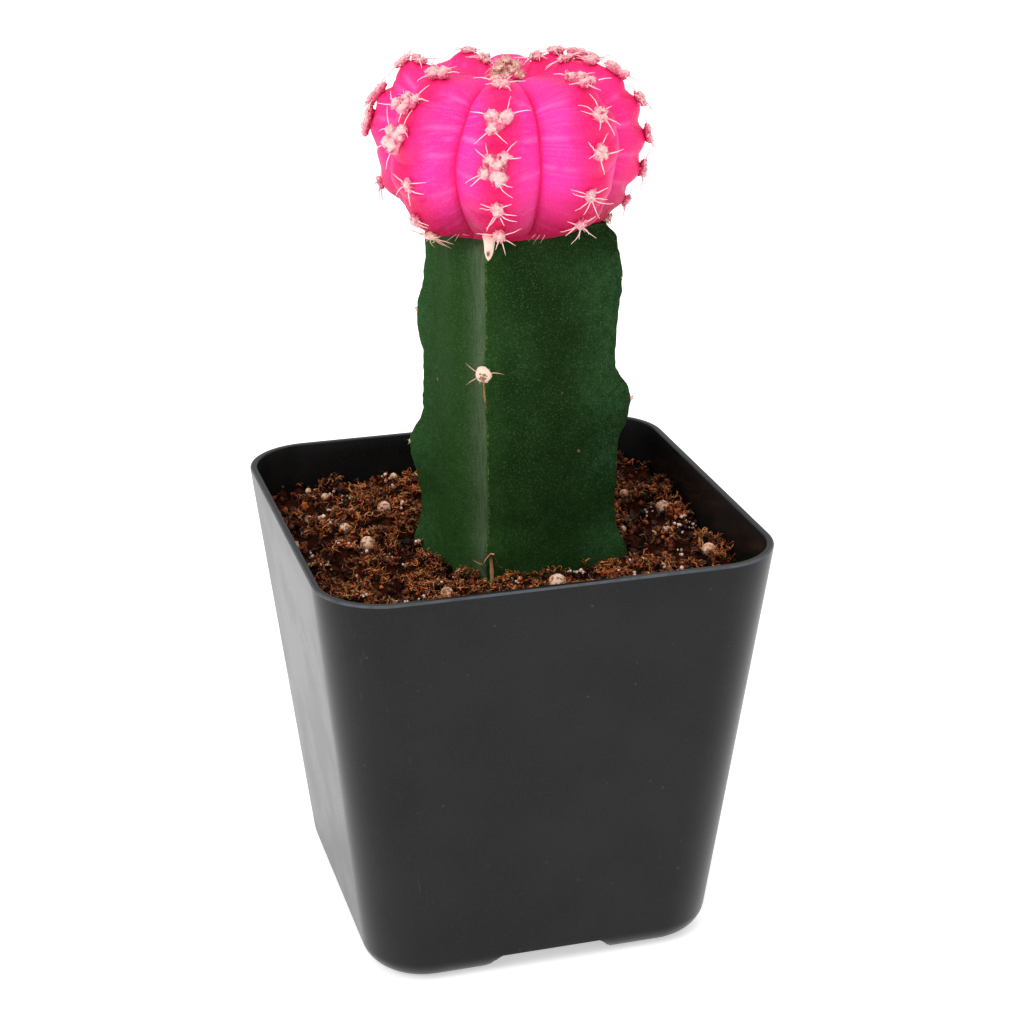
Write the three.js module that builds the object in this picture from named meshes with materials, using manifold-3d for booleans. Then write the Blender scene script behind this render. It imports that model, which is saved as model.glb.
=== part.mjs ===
// A potted moon cactus: a ribbed pink cactus grafted on a three-winged green stem that
// stands in a square pot of soil. Millimetres, +Z up. The ground is z = 0 and the origin
// lies under the middle of the pot. Angles are in degrees, from +X towards +Y.
import * as THREE from "three";
import { mergeVertices } from "three/addons/utils/BufferGeometryUtils.js";
import Module from "manifold-3d";

const wasm = await Module();
wasm.setup();

// Pot: a thin moulded square, wider at the rim, on four corner feet
const POT_HEIGHT = 67.5;
const POT_TOP_WIDTH = 70;
const POT_BASE_WIDTH = 55;
const POT_TOP_CORNER = 10.5;
const POT_BASE_CORNER = 9.5;
const POT_BASE_ROUNDING = 4;
const POT_WALL = 1.1;
const POT_CORNER_STEPS = 6;
const CHANNEL_HEIGHT = 3.2;
const CHANNEL_TOP_WIDTH = 15.6;
const CHANNEL_MOUTH_WIDTH = 22;
const CHANNEL_EASE_RUN = 0.7;
const CHANNEL_EASE_RISE = 0.4;
const DRAIN_HOLE_WIDTH = 8;
const DRAIN_HOLE_SPACING = 15;
const DRAIN_HOLE_SIDES = 16;
const BELOW_GROUND = 1;
const ROUNDING_STEPS = 4;
const LIP_STEPS = 4;

// Room left between neighbouring pieces
const GAP = 0.3;

// Stem axis, graft and foot
const STEM_X = 1.14;
const STEM_Y = -0.85;
const STEM_FOOT_Z = 40.5;
const GRAFT_Z = 111.9;

// Soil: a little lower round the stem than at the wall, with crumbs and round prills
const SOIL_WALL_Z = 60.9;
const SOIL_STEM_Z = 58.5;
const SOIL_DISH = [10, 30];
const STEM_HOLE_TOP_Z = 66.5;
const SOIL_SEED = 11;
const SOIL_CORNER_STEPS = 4;
const SOIL_SIDE_STEPS = 9;
const SOIL_RINGS = 8;
const CRUMB_RELIEF = 0.55;
const CRUMB_COUNT = 36;
const CRUMB_RADIUS = [0.9, 1.5];
const PRILL_COUNT = 12;
const PRILL_RADIUS = [0.6, 0.95];
const LUMP_REACH = 29.5;
const LUMP_ROOT = 0.3;
const LARGE_PRILLS = [
  { x: -20.4, y: 4.4, radius: 1.2 },
  { x: -14.7, y: 17.9, radius: 1.1 },
  { x: -22.8, y: 10.3, radius: 0.7 },
  { x: 3.6, y: -18.4, radius: 1.2 },
  { x: 29.2, y: -14.6, radius: 1.15 },
  { x: 28.6, y: 5, radius: 1.1 },
  { x: -13.4, y: -18.1, radius: 0.8 },
];

// Stem wings: each edge stands out further at its lobes, under the areoles
const WINGS = [
  { turn: -124, topReach: 10.3, baseReach: 9.9, lobes: [[91.3, 1.8], [61.9, 1.5]] },
  { turn: -15, topReach: 16.2, baseReach: 16.6, lobes: [[103.5, 0.7], [84.3, 2.4], [58.5, 1.9]] },
  { turn: 143, topReach: 13.3, baseReach: 15.2, lobes: [[97.1, 1.2], [75.5, 2], [58.5, 1.2]] },
];
const VALLEY_REACH = [8.9, 9.6, 9.5];
const VALLEY_SHIFT = [-8, 0, 4];
const WING_HOLLOW = 0.45;
const WING_HOLLOW_PLACE = 0.4;
const WING_EDGE_WIDTH = 0.9;
const WING_EDGE_DEPTH = 0.4;
const WING_SHOULDER = 1.6;
const WING_SHOULDER_HEIGHT = 2.5;
const LOBE_ABOVE = 5.5;
const LOBE_BELOW = 9;
const LOWEST_LOBE_Z = 57.5;
const STEM_ROW = 2.6;
const FLANK_STEPS = 9;

// Pink cactus: the outline of a rib's crest, outwards and up from the middle of the graft
const SCION_X = 1.46;
const SCION_Y = 0.28;
const CREST = [
  [11.8, 0],
  [13.8, 1.2],
  [16.6, 4.1],
  [18.6, 8.2],
  [19.3, 12],
  [18.8, 16.1],
  [17.2, 19.3],
  [14.4, 21.7],
  [10.4, 22.8],
  [6.2, 22.4],
  [2.6, 21],
  [0, 20.4],
];
const RIBS = [
  { turn: -110, first: 0.085 },
  { turn: -63, first: 0.105 },
  { turn: -16, first: 0.09 },
  { turn: 29, first: 0.06 },
  { turn: 74, first: 0.1 },
  { turn: 114, first: 0.07 },
  { turn: 159, first: 0.08 },
  { turn: 204, first: 0.095 },
];
const FURROW_DEPTH = 2.4;
const FURROW_SHARPNESS = 2.8;
const FURROW_FOOT = 0.35;
const FURROW_FADE = 0.2;
const CHIN_HEIGHT = 0.9;
const CHIN_DROP = 0.012;
const CHIN_BREADTH = 0.8;
const RIB_STEPS = 8;
const CREST_ROWS = 23;
const LAST_ROW = 0.985;
const NORMAL_STEP = 0.01;

// Areoles: woolly cushions with spreading spines, at equal steps up each rib
const AREOLE_STEP = 0.145;
const LOWEST_AREOLE_LIFT = 0.027;
const LAST_AREOLE = 0.93;
const CUSHION_RADIUS = [1.2, 1.65];
const CUSHION_THICKNESS = 0.7;
const SPINES_PER_AREOLE = 5;
const SPINE_RADIUS = 0.2;
const SPINE_LENGTH = [2.4, 3.2];
const SPINE_TILT = [66, 84];
const SPINE_JITTER = [-18, 18];
const SPINE_RISE = 0.35;
const SPINE_SEED = 5;
const BUD = { x: -5.3, y: -12.9, z: 111.6, radius: 0.85, length: 3.6 };
const BUD_SIDES = 8;
const BUD_ROWS = 6;
const STEM_CUSHION_RADIUS = [1, 1.1];
const STEM_CUSHION_SUNK = 0.2;
const STEM_SPINES = 3;
const STEM_SPINE_LENGTH = [1.3, 1.9];
const STEM_SPINE_SEED = 23;
const LOWEST_STEM_AREOLE = 60.5;

const { degToRad, lerp, clamp, smoothstep } = THREE.MathUtils;
const UP = new THREE.Vector3(0, 0, 1);

// A repeatable source of numbers from 0 to 1.
function seeded(seed) {
  let state = seed;
  return () => {
    state = (state + 0x6d2b79f5) | 0;
    let mix = Math.imul(state ^ (state >>> 15), 1 | state);
    mix = (mix + Math.imul(mix ^ (mix >>> 7), 61 | mix)) ^ mix;
    return ((mix ^ (mix >>> 14)) >>> 0) / 2 ** 32;
  };
}

function pick(random, [low, high]) {
  return lerp(low, high, random());
}

// 1 at zero, falling smoothly to 0 at one width either side.
function hump(distance, width) {
  const t = Math.min(Math.abs(distance) / width, 1);
  return (1 - t * t) ** 2;
}

function middle(points) {
  const sum = new THREE.Vector3();
  points.forEach((point) => sum.add(point));
  return sum.divideScalar(points.length);
}

// A closed surface over rings of points. Each ring runs anticlockwise seen from above,
// the first ring closes to a point facing down and the last to a point facing up.
function skin(rings, last = middle(rings.at(-1))) {
  const count = rings[0].length;
  const points = [middle(rings[0]), ...rings.flat(), last];
  const lastPoint = points.length - 1;
  const lastRing = rings.length - 1;
  const at = (ring, step) => 1 + ring * count + (step % count);
  const faces = [];
  for (let step = 0; step < count; step++) {
    faces.push(0, at(0, step + 1), at(0, step));
    for (let ring = 0; ring < lastRing; ring++) {
      const [a, b] = [at(ring, step), at(ring, step + 1)];
      const [c, d] = [at(ring + 1, step), at(ring + 1, step + 1)];
      faces.push(a, b, d, a, d, c);
    }
    faces.push(at(lastRing, step), at(lastRing, step + 1), lastPoint);
  }
  const surface = new THREE.BufferGeometry().setFromPoints(points);
  surface.setIndex(faces);
  return surface;
}

function solid(geometry) {
  const bare = new THREE.BufferGeometry();
  bare.setAttribute("position", geometry.getAttribute("position"));
  bare.setIndex(geometry.getIndex());
  const merged = mergeVertices(bare, 1e-4);
  const vertProperties = merged.attributes.position.array;
  const triVerts = new Uint32Array(merged.index.array);
  return new wasm.Manifold(new wasm.Mesh({ numProp: 3, vertProperties, triVerts }));
}

function join(first, others) {
  return others.reduce((whole, next) => whole.add(next), first);
}

function cut(first, others) {
  return others.reduce((whole, next) => whole.subtract(next), first);
}

function meshOf(name, body, colour, roughness) {
  const { vertProperties, triVerts } = body.getMesh();
  const geometry = new THREE.BufferGeometry();
  geometry.setAttribute("position", new THREE.BufferAttribute(vertProperties, 3));
  geometry.setIndex(new THREE.BufferAttribute(triVerts, 1));
  geometry.computeVertexNormals();
  const material = new THREE.MeshStandardMaterial({
    color: colour,
    roughness,
    metalness: 0,
    flatShading: true,
  });
  const mesh = new THREE.Mesh(geometry, material);
  mesh.name = name;
  return mesh;
}

// Pot shape, shared by the pot and the soil that fills it.
function roundedSquare(half, corner, z, cornerSteps, sideSteps) {
  const ring = [];
  const reach = (half - corner) * Math.SQRT2;
  for (let side = 0; side < 4; side++) {
    const turn = (side * Math.PI) / 2;
    const centreX = reach * Math.cos(turn + Math.PI / 4);
    const centreY = reach * Math.sin(turn + Math.PI / 4);
    for (let step = 0; step <= cornerSteps; step++) {
      const angle = turn + (step / cornerSteps) * (Math.PI / 2);
      const x = centreX + corner * Math.cos(angle);
      const y = centreY + corner * Math.sin(angle);
      ring.push(new THREE.Vector3(x, y, z));
    }
    const along = new THREE.Vector3(-Math.cos(turn), -Math.sin(turn), 0);
    const start = ring.at(-1);
    for (let step = 1; step < sideSteps; step++) {
      const walked = (2 * (half - corner) * step) / sideSteps;
      ring.push(start.clone().addScaledVector(along, walked));
    }
  }
  return ring;
}

function potRing(z, inset, cornerSteps = POT_CORNER_STEPS, sideSteps = 1) {
  const height = clamp(z / (POT_HEIGHT - POT_WALL / 2), 0, 1);
  const half = lerp(POT_BASE_WIDTH, POT_TOP_WIDTH, height) / 2 - inset;
  const corner = lerp(POT_BASE_CORNER, POT_TOP_CORNER, height) - inset;
  return roundedSquare(half, corner, z, cornerSteps, sideSteps);
}

// The rounding between a flat floor and the wall, from the floor outwards and up.
function baseRounding(floorZ, inset, radius, steps) {
  const path = [];
  for (let step = 0; step <= steps; step++) {
    const angle = ((step / steps) * Math.PI) / 2;
    path.push([floorZ + radius * (1 - Math.cos(angle)), inset + radius * (1 - Math.sin(angle))]);
  }
  return path;
}

// The open channel between the feet, along one side of the pot, grown by a margin.
function channelUnderPot(turn, margin = 0) {
  const top = CHANNEL_TOP_WIDTH / 2 + margin;
  const mouth = CHANNEL_MOUTH_WIDTH / 2 + margin;
  const roof = CHANNEL_HEIGHT + margin;
  const half = [
    [mouth + BELOW_GROUND, -BELOW_GROUND],
    [mouth, 0],
    [mouth - CHANNEL_EASE_RUN, CHANNEL_EASE_RISE],
    [top + CHANNEL_EASE_RUN, roof - CHANNEL_EASE_RISE],
    [top, roof],
  ];
  const mirrored = half.map(([x, z]) => [-x, z]).reverse();
  const section = new THREE.Shape([...half, ...mirrored].map(([x, z]) => new THREE.Vector2(x, z)));
  const length = POT_TOP_WIDTH;
  const channel = new THREE.ExtrudeGeometry(section, { depth: length, bevelEnabled: false });
  channel.translate(0, 0, -length / 2);
  channel.rotateX(Math.PI / 2);
  channel.rotateZ(turn);
  return solid(channel);
}

function channelsUnderPot(margin) {
  return [channelUnderPot(0, margin), channelUnderPot(Math.PI / 2, margin)];
}

function drainHole(x, y) {
  const radius = DRAIN_HOLE_WIDTH / 2;
  const floorTop = CHANNEL_HEIGHT + POT_WALL;
  const hole = new THREE.CylinderGeometry(radius, radius, 2 * floorTop, DRAIN_HOLE_SIDES);
  hole.rotateX(Math.PI / 2);
  hole.translate(x, y, floorTop);
  return solid(hole);
}

function makePot() {
  const outside = baseRounding(0, 0, POT_BASE_ROUNDING, ROUNDING_STEPS);
  const lip = POT_WALL / 2;
  const rim = [];
  for (let step = 0; step <= LIP_STEPS; step++) {
    const angle = (step / LIP_STEPS) * Math.PI;
    rim.push([POT_HEIGHT - lip + lip * Math.sin(angle), lip * (1 - Math.cos(angle))]);
  }
  const innerRadius = POT_BASE_ROUNDING - POT_WALL;
  const inside = baseRounding(POT_WALL, POT_WALL, innerRadius, ROUNDING_STEPS - 1).reverse();
  const path = [...outside, ...rim, ...inside];
  const shell = solid(skin(path.map(([z, inset]) => potRing(z, inset))));
  const holes = [[0, 0], [1, 0], [-1, 0], [0, 1], [0, -1]].map(([x, y]) =>
    drainHole(x * DRAIN_HOLE_SPACING, y * DRAIN_HOLE_SPACING),
  );
  const core = baseRounding(lip, lip, POT_BASE_ROUNDING - lip, ROUNDING_STEPS);
  core.push([CHANNEL_HEIGHT + 2 * POT_WALL, lip]);
  const coreBody = solid(skin(core.map(([z, inset]) => potRing(z, inset))));
  const ridges = channelsUnderPot(POT_WALL).map((ridge) => ridge.intersect(coreBody));
  return cut(join(shell, ridges), [...channelsUnderPot(0), ...holes]);
}

// Outline of the stem across its wings, anticlockwise, grown outwards by a margin.
function wingReach(wing, z) {
  const level = Math.max(z, LOWEST_LOBE_Z);
  const height = (level - LOWEST_LOBE_Z) / (GRAFT_Z - LOWEST_LOBE_Z);
  let reach = lerp(wing.baseReach, wing.topReach, height);
  for (const [lobeZ, lobe] of wing.lobes) {
    reach += lobe * hump(level - lobeZ, level > lobeZ ? LOBE_ABOVE : LOBE_BELOW);
  }
  return reach - WING_SHOULDER * smoothstep(z, GRAFT_Z - WING_SHOULDER_HEIGHT, GRAFT_Z);
}

function polar(degrees, reach) {
  const angle = degToRad(degrees);
  return new THREE.Vector2(reach * Math.cos(angle), reach * Math.sin(angle));
}

// The three points that round a wing's edge, from its clockwise to its other side.
function wingEdge(wing, z) {
  const tip = polar(wing.turn, wingReach(wing, z));
  const out = tip.clone().normalize();
  const side = new THREE.Vector2(-out.y, out.x).multiplyScalar(WING_EDGE_WIDTH / 2);
  const back = tip.clone().addScaledVector(out, -WING_EDGE_DEPTH);
  return [back.clone().sub(side), tip, back.clone().add(side)];
}

function stemOutline(z, margin = 0) {
  const outline = [];
  WINGS.forEach((wing, index) => {
    const next = WINGS[(index + 1) % WINGS.length];
    const edge = wingEdge(wing, z);
    const nextEdge = wingEdge(next, z);
    const span = (next.turn - wing.turn + 360) % 360;
    const valley = polar(wing.turn + span / 2 + VALLEY_SHIFT[index], VALLEY_REACH[index]);
    const [start, end] = [edge[2], nextEdge[0]];
    const hollow = (from, to) => {
      const point = from.clone().lerp(to, WING_HOLLOW_PLACE);
      return point.addScaledVector(point.clone().normalize(), -WING_HOLLOW);
    };
    const flank = new THREE.SplineCurve([
      start,
      hollow(start, valley),
      valley,
      hollow(end, valley),
      end,
    ]);
    outline.push(edge[0], edge[1], ...flank.getSpacedPoints(FLANK_STEPS).slice(0, -1));
  });
  return outline.map((point, index) => {
    const before = outline.at(index - 1);
    const after = outline[(index + 1) % outline.length];
    const along = after.clone().sub(before).normalize();
    const x = point.x + along.y * margin + STEM_X;
    const y = point.y - along.x * margin + STEM_Y;
    return new THREE.Vector3(x, y, z);
  });
}

// Soil surface
function soilHeight(x, y) {
  const fromStem = Math.hypot(x - STEM_X, y - STEM_Y);
  return lerp(SOIL_STEM_Z, SOIL_WALL_Z, smoothstep(fromStem, ...SOIL_DISH));
}

function clearOfStem(x, y, radius) {
  const outline = stemOutline(LOWEST_LOBE_Z, GAP);
  const distanceTo = (point) => Math.hypot(point.x - x, point.y - y);
  const nearest = outline.reduce((a, b) => (distanceTo(a) < distanceTo(b) ? a : b));
  const nearestReach = Math.hypot(nearest.x - STEM_X, nearest.y - STEM_Y);
  const reach = Math.hypot(x - STEM_X, y - STEM_Y);
  return reach > nearestReach && distanceTo(nearest) > radius + GAP;
}

function lump(x, y, radius, detail, sunk) {
  const ball = new THREE.IcosahedronGeometry(radius, detail);
  ball.rotateZ(x * 7 + y * 3);
  const rise = Math.min(radius * (1 - 2 * sunk), radius - CRUMB_RELIEF - LUMP_ROOT);
  ball.translate(x, y, soilHeight(x, y) + rise);
  return solid(ball);
}

function makeSoil() {
  const random = seeded(SOIL_SEED);
  const inset = POT_WALL + GAP;
  const ring = (z, ringInset) => potRing(z, ringInset, SOIL_CORNER_STEPS, SOIL_SIDE_STEPS);
  const rounding = baseRounding(inset, inset, POT_BASE_ROUNDING - inset, 2);
  const edge = ring(SOIL_WALL_Z, inset);
  const rings = [...rounding.map(([z, ringInset]) => ring(z, ringInset)), edge];
  const centre = new THREE.Vector3(STEM_X, STEM_Y, SOIL_STEM_Z);
  for (let step = 1; step < SOIL_RINGS; step++) {
    const inwards = step / SOIL_RINGS;
    rings.push(
      edge.map((point) => {
        const moved = point.clone().lerp(centre, inwards);
        moved.z = soilHeight(moved.x, moved.y) + CRUMB_RELIEF * (2 * random() - 1);
        return moved;
      }),
    );
  }
  const scatter = (count, radii, sunk) => {
    const lumps = [];
    while (lumps.length < count) {
      const x = pick(random, [-LUMP_REACH, LUMP_REACH]);
      const y = pick(random, [-LUMP_REACH, LUMP_REACH]);
      const radius = pick(random, radii);
      if (clearOfStem(x, y, radius)) {
        lumps.push(lump(x, y, radius, 0, sunk));
      }
    }
    return lumps;
  };
  const lumps = [
    ...scatter(CRUMB_COUNT, CRUMB_RADIUS, 0.6),
    ...scatter(PRILL_COUNT, PRILL_RADIUS, 0.4),
    ...LARGE_PRILLS.map(({ x, y, radius }) => lump(x, y, radius, 1, 0.3)),
  ];
  const stemHole = skin([
    stemOutline(STEM_FOOT_Z - GAP, GAP),
    stemOutline(LOWEST_LOBE_Z, GAP),
    stemOutline(LOWEST_LOBE_Z, GAP).map((point) => point.setZ(STEM_HOLE_TOP_Z)),
  ]);
  const fill = join(solid(skin(rings, centre)), lumps);
  return cut(fill, [solid(stemHole), ...channelsUnderPot(inset)]);
}

// A cone from a root to a tip.
function spine(root, tip) {
  const along = tip.clone().sub(root);
  const cone = new THREE.ConeGeometry(SPINE_RADIUS, along.length(), 3);
  cone.translate(0, along.length() / 2, 0);
  const turn = new THREE.Quaternion();
  turn.setFromUnitVectors(new THREE.Vector3(0, 1, 0), along.normalize());
  cone.applyQuaternion(turn);
  cone.translate(root.x, root.y, root.z);
  return solid(cone);
}

// A woolly cushion at a point of a surface, with spines that spread round its normal.
function areole(random, { point, normal, radii, spines, lengths, lowestTip }) {
  const cushion = new THREE.IcosahedronGeometry(pick(random, radii), 0);
  cushion.rotateZ(random() * Math.PI);
  cushion.scale(1, 1, CUSHION_THICKNESS);
  const turn = new THREE.Quaternion().setFromUnitVectors(UP, normal);
  cushion.applyQuaternion(turn);
  cushion.translate(point.x, point.y, point.z);
  const parts = [solid(cushion)];
  const root = point.clone().addScaledVector(normal, SPINE_RISE);
  const start = random() * 360;
  for (let index = 0; index < spines; index++) {
    const around = degToRad(start + (index * 360) / spines + pick(random, SPINE_JITTER));
    const tilt = degToRad(pick(random, SPINE_TILT));
    const direction = new THREE.Vector3(
      Math.sin(tilt) * Math.cos(around),
      Math.sin(tilt) * Math.sin(around),
      Math.cos(tilt),
    ).applyQuaternion(turn);
    const tip = root.clone().addScaledVector(direction, pick(random, lengths));
    tip.z = Math.max(tip.z, lowestTip);
    parts.push(spine(root, tip));
  }
  return parts;
}

function makeStem() {
  const random = seeded(STEM_SPINE_SEED);
  const rows = Math.round((GRAFT_Z - LOWEST_LOBE_Z) / STEM_ROW);
  const rings = [stemOutline(STEM_FOOT_Z)];
  for (let row = 0; row <= rows; row++) {
    rings.push(stemOutline(lerp(LOWEST_LOBE_Z, GRAFT_Z, row / rows)));
  }
  const areoles = WINGS.flatMap((wing) =>
    wing.lobes
      .filter(([z]) => z > LOWEST_STEM_AREOLE)
      .flatMap(([z]) => {
        const tip = polar(wing.turn, wingReach(wing, z) - STEM_CUSHION_SUNK);
        return areole(random, {
          point: new THREE.Vector3(tip.x + STEM_X, tip.y + STEM_Y, z),
          normal: new THREE.Vector3(tip.x, tip.y, 0).normalize(),
          radii: STEM_CUSHION_RADIUS,
          spines: STEM_SPINES,
          lengths: STEM_SPINE_LENGTH,
          lowestTip: LOWEST_STEM_AREOLE,
        });
      }),
  );
  return join(solid(skin(rings)), areoles);
}

// Pink cactus surface. ribwise counts ribs from the first crest, and crestwise runs from
// 0 at the graft to 1 at the top, along the crest outline.
const crestOutline = new THREE.SplineCurve(CREST.map(([x, z]) => new THREE.Vector2(x, z)));

function ribTurn(ribwise) {
  const index = Math.floor(ribwise);
  const turnOf = (count) => {
    const rounds = Math.floor(count / RIBS.length);
    return RIBS[count - rounds * RIBS.length].turn + 360 * rounds;
  };
  return lerp(turnOf(index), turnOf(index + 1), ribwise - index);
}

function areoleSteps(rib) {
  const steps = [];
  for (let at = rib.first; at < LAST_AREOLE; at += AREOLE_STEP) {
    steps.push(at === rib.first ? at + LOWEST_AREOLE_LIFT : at);
  }
  return steps;
}

function scionPoint(ribwise, crestwise) {
  const nearest = Math.round(ribwise);
  const across = 2 * Math.abs(ribwise - nearest);
  const rib = RIBS[((nearest % RIBS.length) + RIBS.length) % RIBS.length];
  const crest = crestOutline.getPointAt(clamp(crestwise, 0, 1));
  const along = crestOutline.getTangentAt(clamp(crestwise, 0, 1));
  const outwards = new THREE.Vector2(along.y, -along.x);
  const footFade = smoothstep(crestwise, -FURROW_FOOT, FURROW_FOOT);
  const topFade = smoothstep(1 - crestwise, 0, FURROW_FADE);
  let lift = -FURROW_DEPTH * footFade * topFade * across ** FURROW_SHARPNESS;
  for (const at of areoleSteps(rib)) {
    const chin = hump(crestwise - at + CHIN_DROP, AREOLE_STEP / 2);
    lift += CHIN_HEIGHT * chin * hump(across, CHIN_BREADTH);
  }
  const reach = crest.x + outwards.x * lift;
  const height = crestwise > 0 ? Math.max(crest.y + outwards.y * lift, 0) : 0;
  const flat = polar(ribTurn(ribwise), reach);
  return new THREE.Vector3(flat.x + SCION_X, flat.y + SCION_Y, GRAFT_Z + height);
}

function scionNormal(ribwise, crestwise) {
  const step = NORMAL_STEP;
  const round = scionPoint(ribwise + step, crestwise).sub(scionPoint(ribwise - step, crestwise));
  const up = scionPoint(ribwise, crestwise + step).sub(scionPoint(ribwise, crestwise - step));
  return round.cross(up).normalize();
}

function makeScion() {
  const random = seeded(SPINE_SEED);
  const columns = RIBS.length * RIB_STEPS;
  const rings = [];
  for (let row = 0; row < CREST_ROWS; row++) {
    const crestwise = (row / CREST_ROWS) * LAST_ROW;
    rings.push(
      Array.from({ length: columns }, (_, column) => scionPoint(column / RIB_STEPS, crestwise)),
    );
  }
  const areoles = RIBS.flatMap((rib, index) =>
    areoleSteps(rib).flatMap((crestwise) =>
      areole(random, {
        point: scionPoint(index, crestwise),
        normal: scionNormal(index, Math.max(crestwise, NORMAL_STEP * 2)),
        radii: CUSHION_RADIUS,
        spines: SPINES_PER_AREOLE,
        lengths: SPINE_LENGTH,
        lowestTip: GRAFT_Z + 2 * GAP,
      }),
    ),
  );
  const bud = new THREE.SphereGeometry(BUD.radius, BUD_SIDES, BUD_ROWS);
  bud.rotateX(Math.PI / 2);
  bud.scale(1, 1, BUD.length / 2 / BUD.radius);
  bud.translate(BUD.x, BUD.y, BUD.z);
  return join(solid(skin(rings, scionPoint(0, 1))), [...areoles, solid(bud)]);
}

const planter = new THREE.Group();
planter.add(meshOf("pot", makePot(), 0x2d2e2f, 0.45));
planter.add(meshOf("soil", makeSoil(), 0x5a2f1c, 0.95));

const plant = new THREE.Group();
plant.add(meshOf("stock", makeStem(), 0x1f4a2a, 0.5));
plant.add(meshOf("scion", makeScion(), 0xff1f84, 0.45));

const pottedCactus = new THREE.Group();
pottedCactus.add(planter, plant);

export default pottedCactus;
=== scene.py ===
"""A potted moon cactus, dressed for its picture.

A ribbed pink globe is grafted on a three-winged green stem that stands in a square
nursery pot of soil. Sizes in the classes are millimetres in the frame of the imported
model, with the ground at z = 0, and angles are degrees from +X towards +Y. Sizes inside
the finishes are millimetres too, and scales of noise are cells for each millimetre.
"""

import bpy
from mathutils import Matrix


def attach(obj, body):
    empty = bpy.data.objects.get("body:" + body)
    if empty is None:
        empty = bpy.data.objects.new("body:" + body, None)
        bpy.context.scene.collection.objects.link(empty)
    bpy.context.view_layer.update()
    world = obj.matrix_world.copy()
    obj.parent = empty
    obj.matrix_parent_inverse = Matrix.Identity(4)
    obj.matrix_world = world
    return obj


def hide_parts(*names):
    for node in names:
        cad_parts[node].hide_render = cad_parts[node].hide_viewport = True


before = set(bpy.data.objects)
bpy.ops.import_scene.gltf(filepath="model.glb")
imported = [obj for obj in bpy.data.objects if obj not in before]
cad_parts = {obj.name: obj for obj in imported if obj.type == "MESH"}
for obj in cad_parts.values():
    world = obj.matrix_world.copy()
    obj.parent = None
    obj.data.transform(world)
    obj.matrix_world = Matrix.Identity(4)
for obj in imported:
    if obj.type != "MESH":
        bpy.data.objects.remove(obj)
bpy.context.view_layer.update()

import logging
import math
from dataclasses import dataclass, field
from enum import Enum
from functools import cache

import bmesh
import bpy
import numpy as np
from mathutils import Matrix, Vector
from mathutils.geometry import delaunay_2d_cdt

LOG = logging.getLogger("moon_cactus")
MM = 0.001
SAME_PLACE = 2e-6
GRAFT_Z = 111.9
UP = np.array([0.0, 0.0, 1.0])
PICTURE_RIGHT = (0.96, -0.27)

Numbers = float | np.ndarray
Range = tuple[float, float]
Triple = tuple[float, float, float]
Socket = bpy.types.NodeSocket
Colour = tuple[float, float, float]
NoiseLayers = tuple[tuple[float, float, int], ...]


# Numbers and curves


def lerp(start: Numbers, end: Numbers, share: Numbers) -> Numbers:
    """Value at a share of the way from start to end."""
    return start + (end - start) * share


def smoothstep(value: Numbers, low: float, high: float) -> Numbers:
    """0 below low, 1 above high and an eased rise between them."""
    share = np.clip((value - low) / (high - low), 0.0, 1.0)
    return share * share * (3 - 2 * share)


def hump(distance: Numbers, width: float) -> Numbers:
    """1 at zero, falling smoothly to 0 at one width either side."""
    share = np.minimum(np.abs(distance) / width, 1.0)
    return (1 - share * share) ** 2


def bell(distance: Numbers, width: float) -> Numbers:
    """1 at zero, falling away for ever on either side."""
    return np.exp(-((distance / width) ** 2))


def polar(degrees: Numbers, reach: Numbers) -> np.ndarray:
    """Flat point at a turn and a distance from the axis."""
    angle = np.radians(degrees)
    return np.stack([reach * np.cos(angle), reach * np.sin(angle)], axis=-1)


def unit(vectors: np.ndarray) -> np.ndarray:
    """Vectors scaled to a length of one."""
    return vectors / np.maximum(np.linalg.norm(vectors, axis=-1, keepdims=True), 1e-9)


def lattice_noise(points: np.ndarray, seed: int) -> np.ndarray:
    """Smooth noise over points in space.

    Args:
        points: Any number of points, with a noise cell of one unit.
        seed: Picks one of many noises.

    Returns:
        One value from -1 to 1 for each point.
    """
    cell = np.floor(points).astype(np.int64)
    part = points - cell
    ease = part * part * (3 - 2 * part)
    total = np.zeros(points.shape[:-1])
    for corner in np.ndindex(2, 2, 2):
        place = cell + np.array(corner)
        mixed = place[..., 0] * 73856093 ^ place[..., 1] * 19349663
        mixed = mixed ^ place[..., 2] * 83492791 ^ (seed * 40503 + 977)
        mixed = (mixed ^ (mixed >> 13)) * 1274126177
        value = ((mixed ^ (mixed >> 16)) & 0xFFFF) / 32767.5 - 1
        weight = np.prod(np.where(np.array(corner) == 1, ease, 1 - ease), axis=-1)
        total += weight * value
    return total


def layered_noise(points: np.ndarray, seed: int, layers: int = 3) -> np.ndarray:
    """Noise with finer layers on top, each half as strong and twice as fine.

    Args:
        points: Any number of points, with a cell of one unit in the first layer.
        seed: Picks one of many noises.
        layers: How many layers.

    Returns:
        One value for each point.
    """
    total = np.zeros(points.shape[:-1])
    for layer in range(layers):
        total += lattice_noise(points * 2.0**layer, seed + layer) / 2.0**layer
    return total


def uneven(points: np.ndarray, parts: NoiseLayers, layers: int = 3) -> np.ndarray:
    """Sum of several noises.

    Args:
        points: Points in millimetres.
        parts: Depth, cells for each millimetre and seed of each noise.
        layers: How many layers each has.

    Returns:
        One value in millimetres for each point.
    """
    noises = [depth * layered_noise(points * pitch, seed, layers) for depth, pitch, seed in parts]
    return sum(noises)


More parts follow.
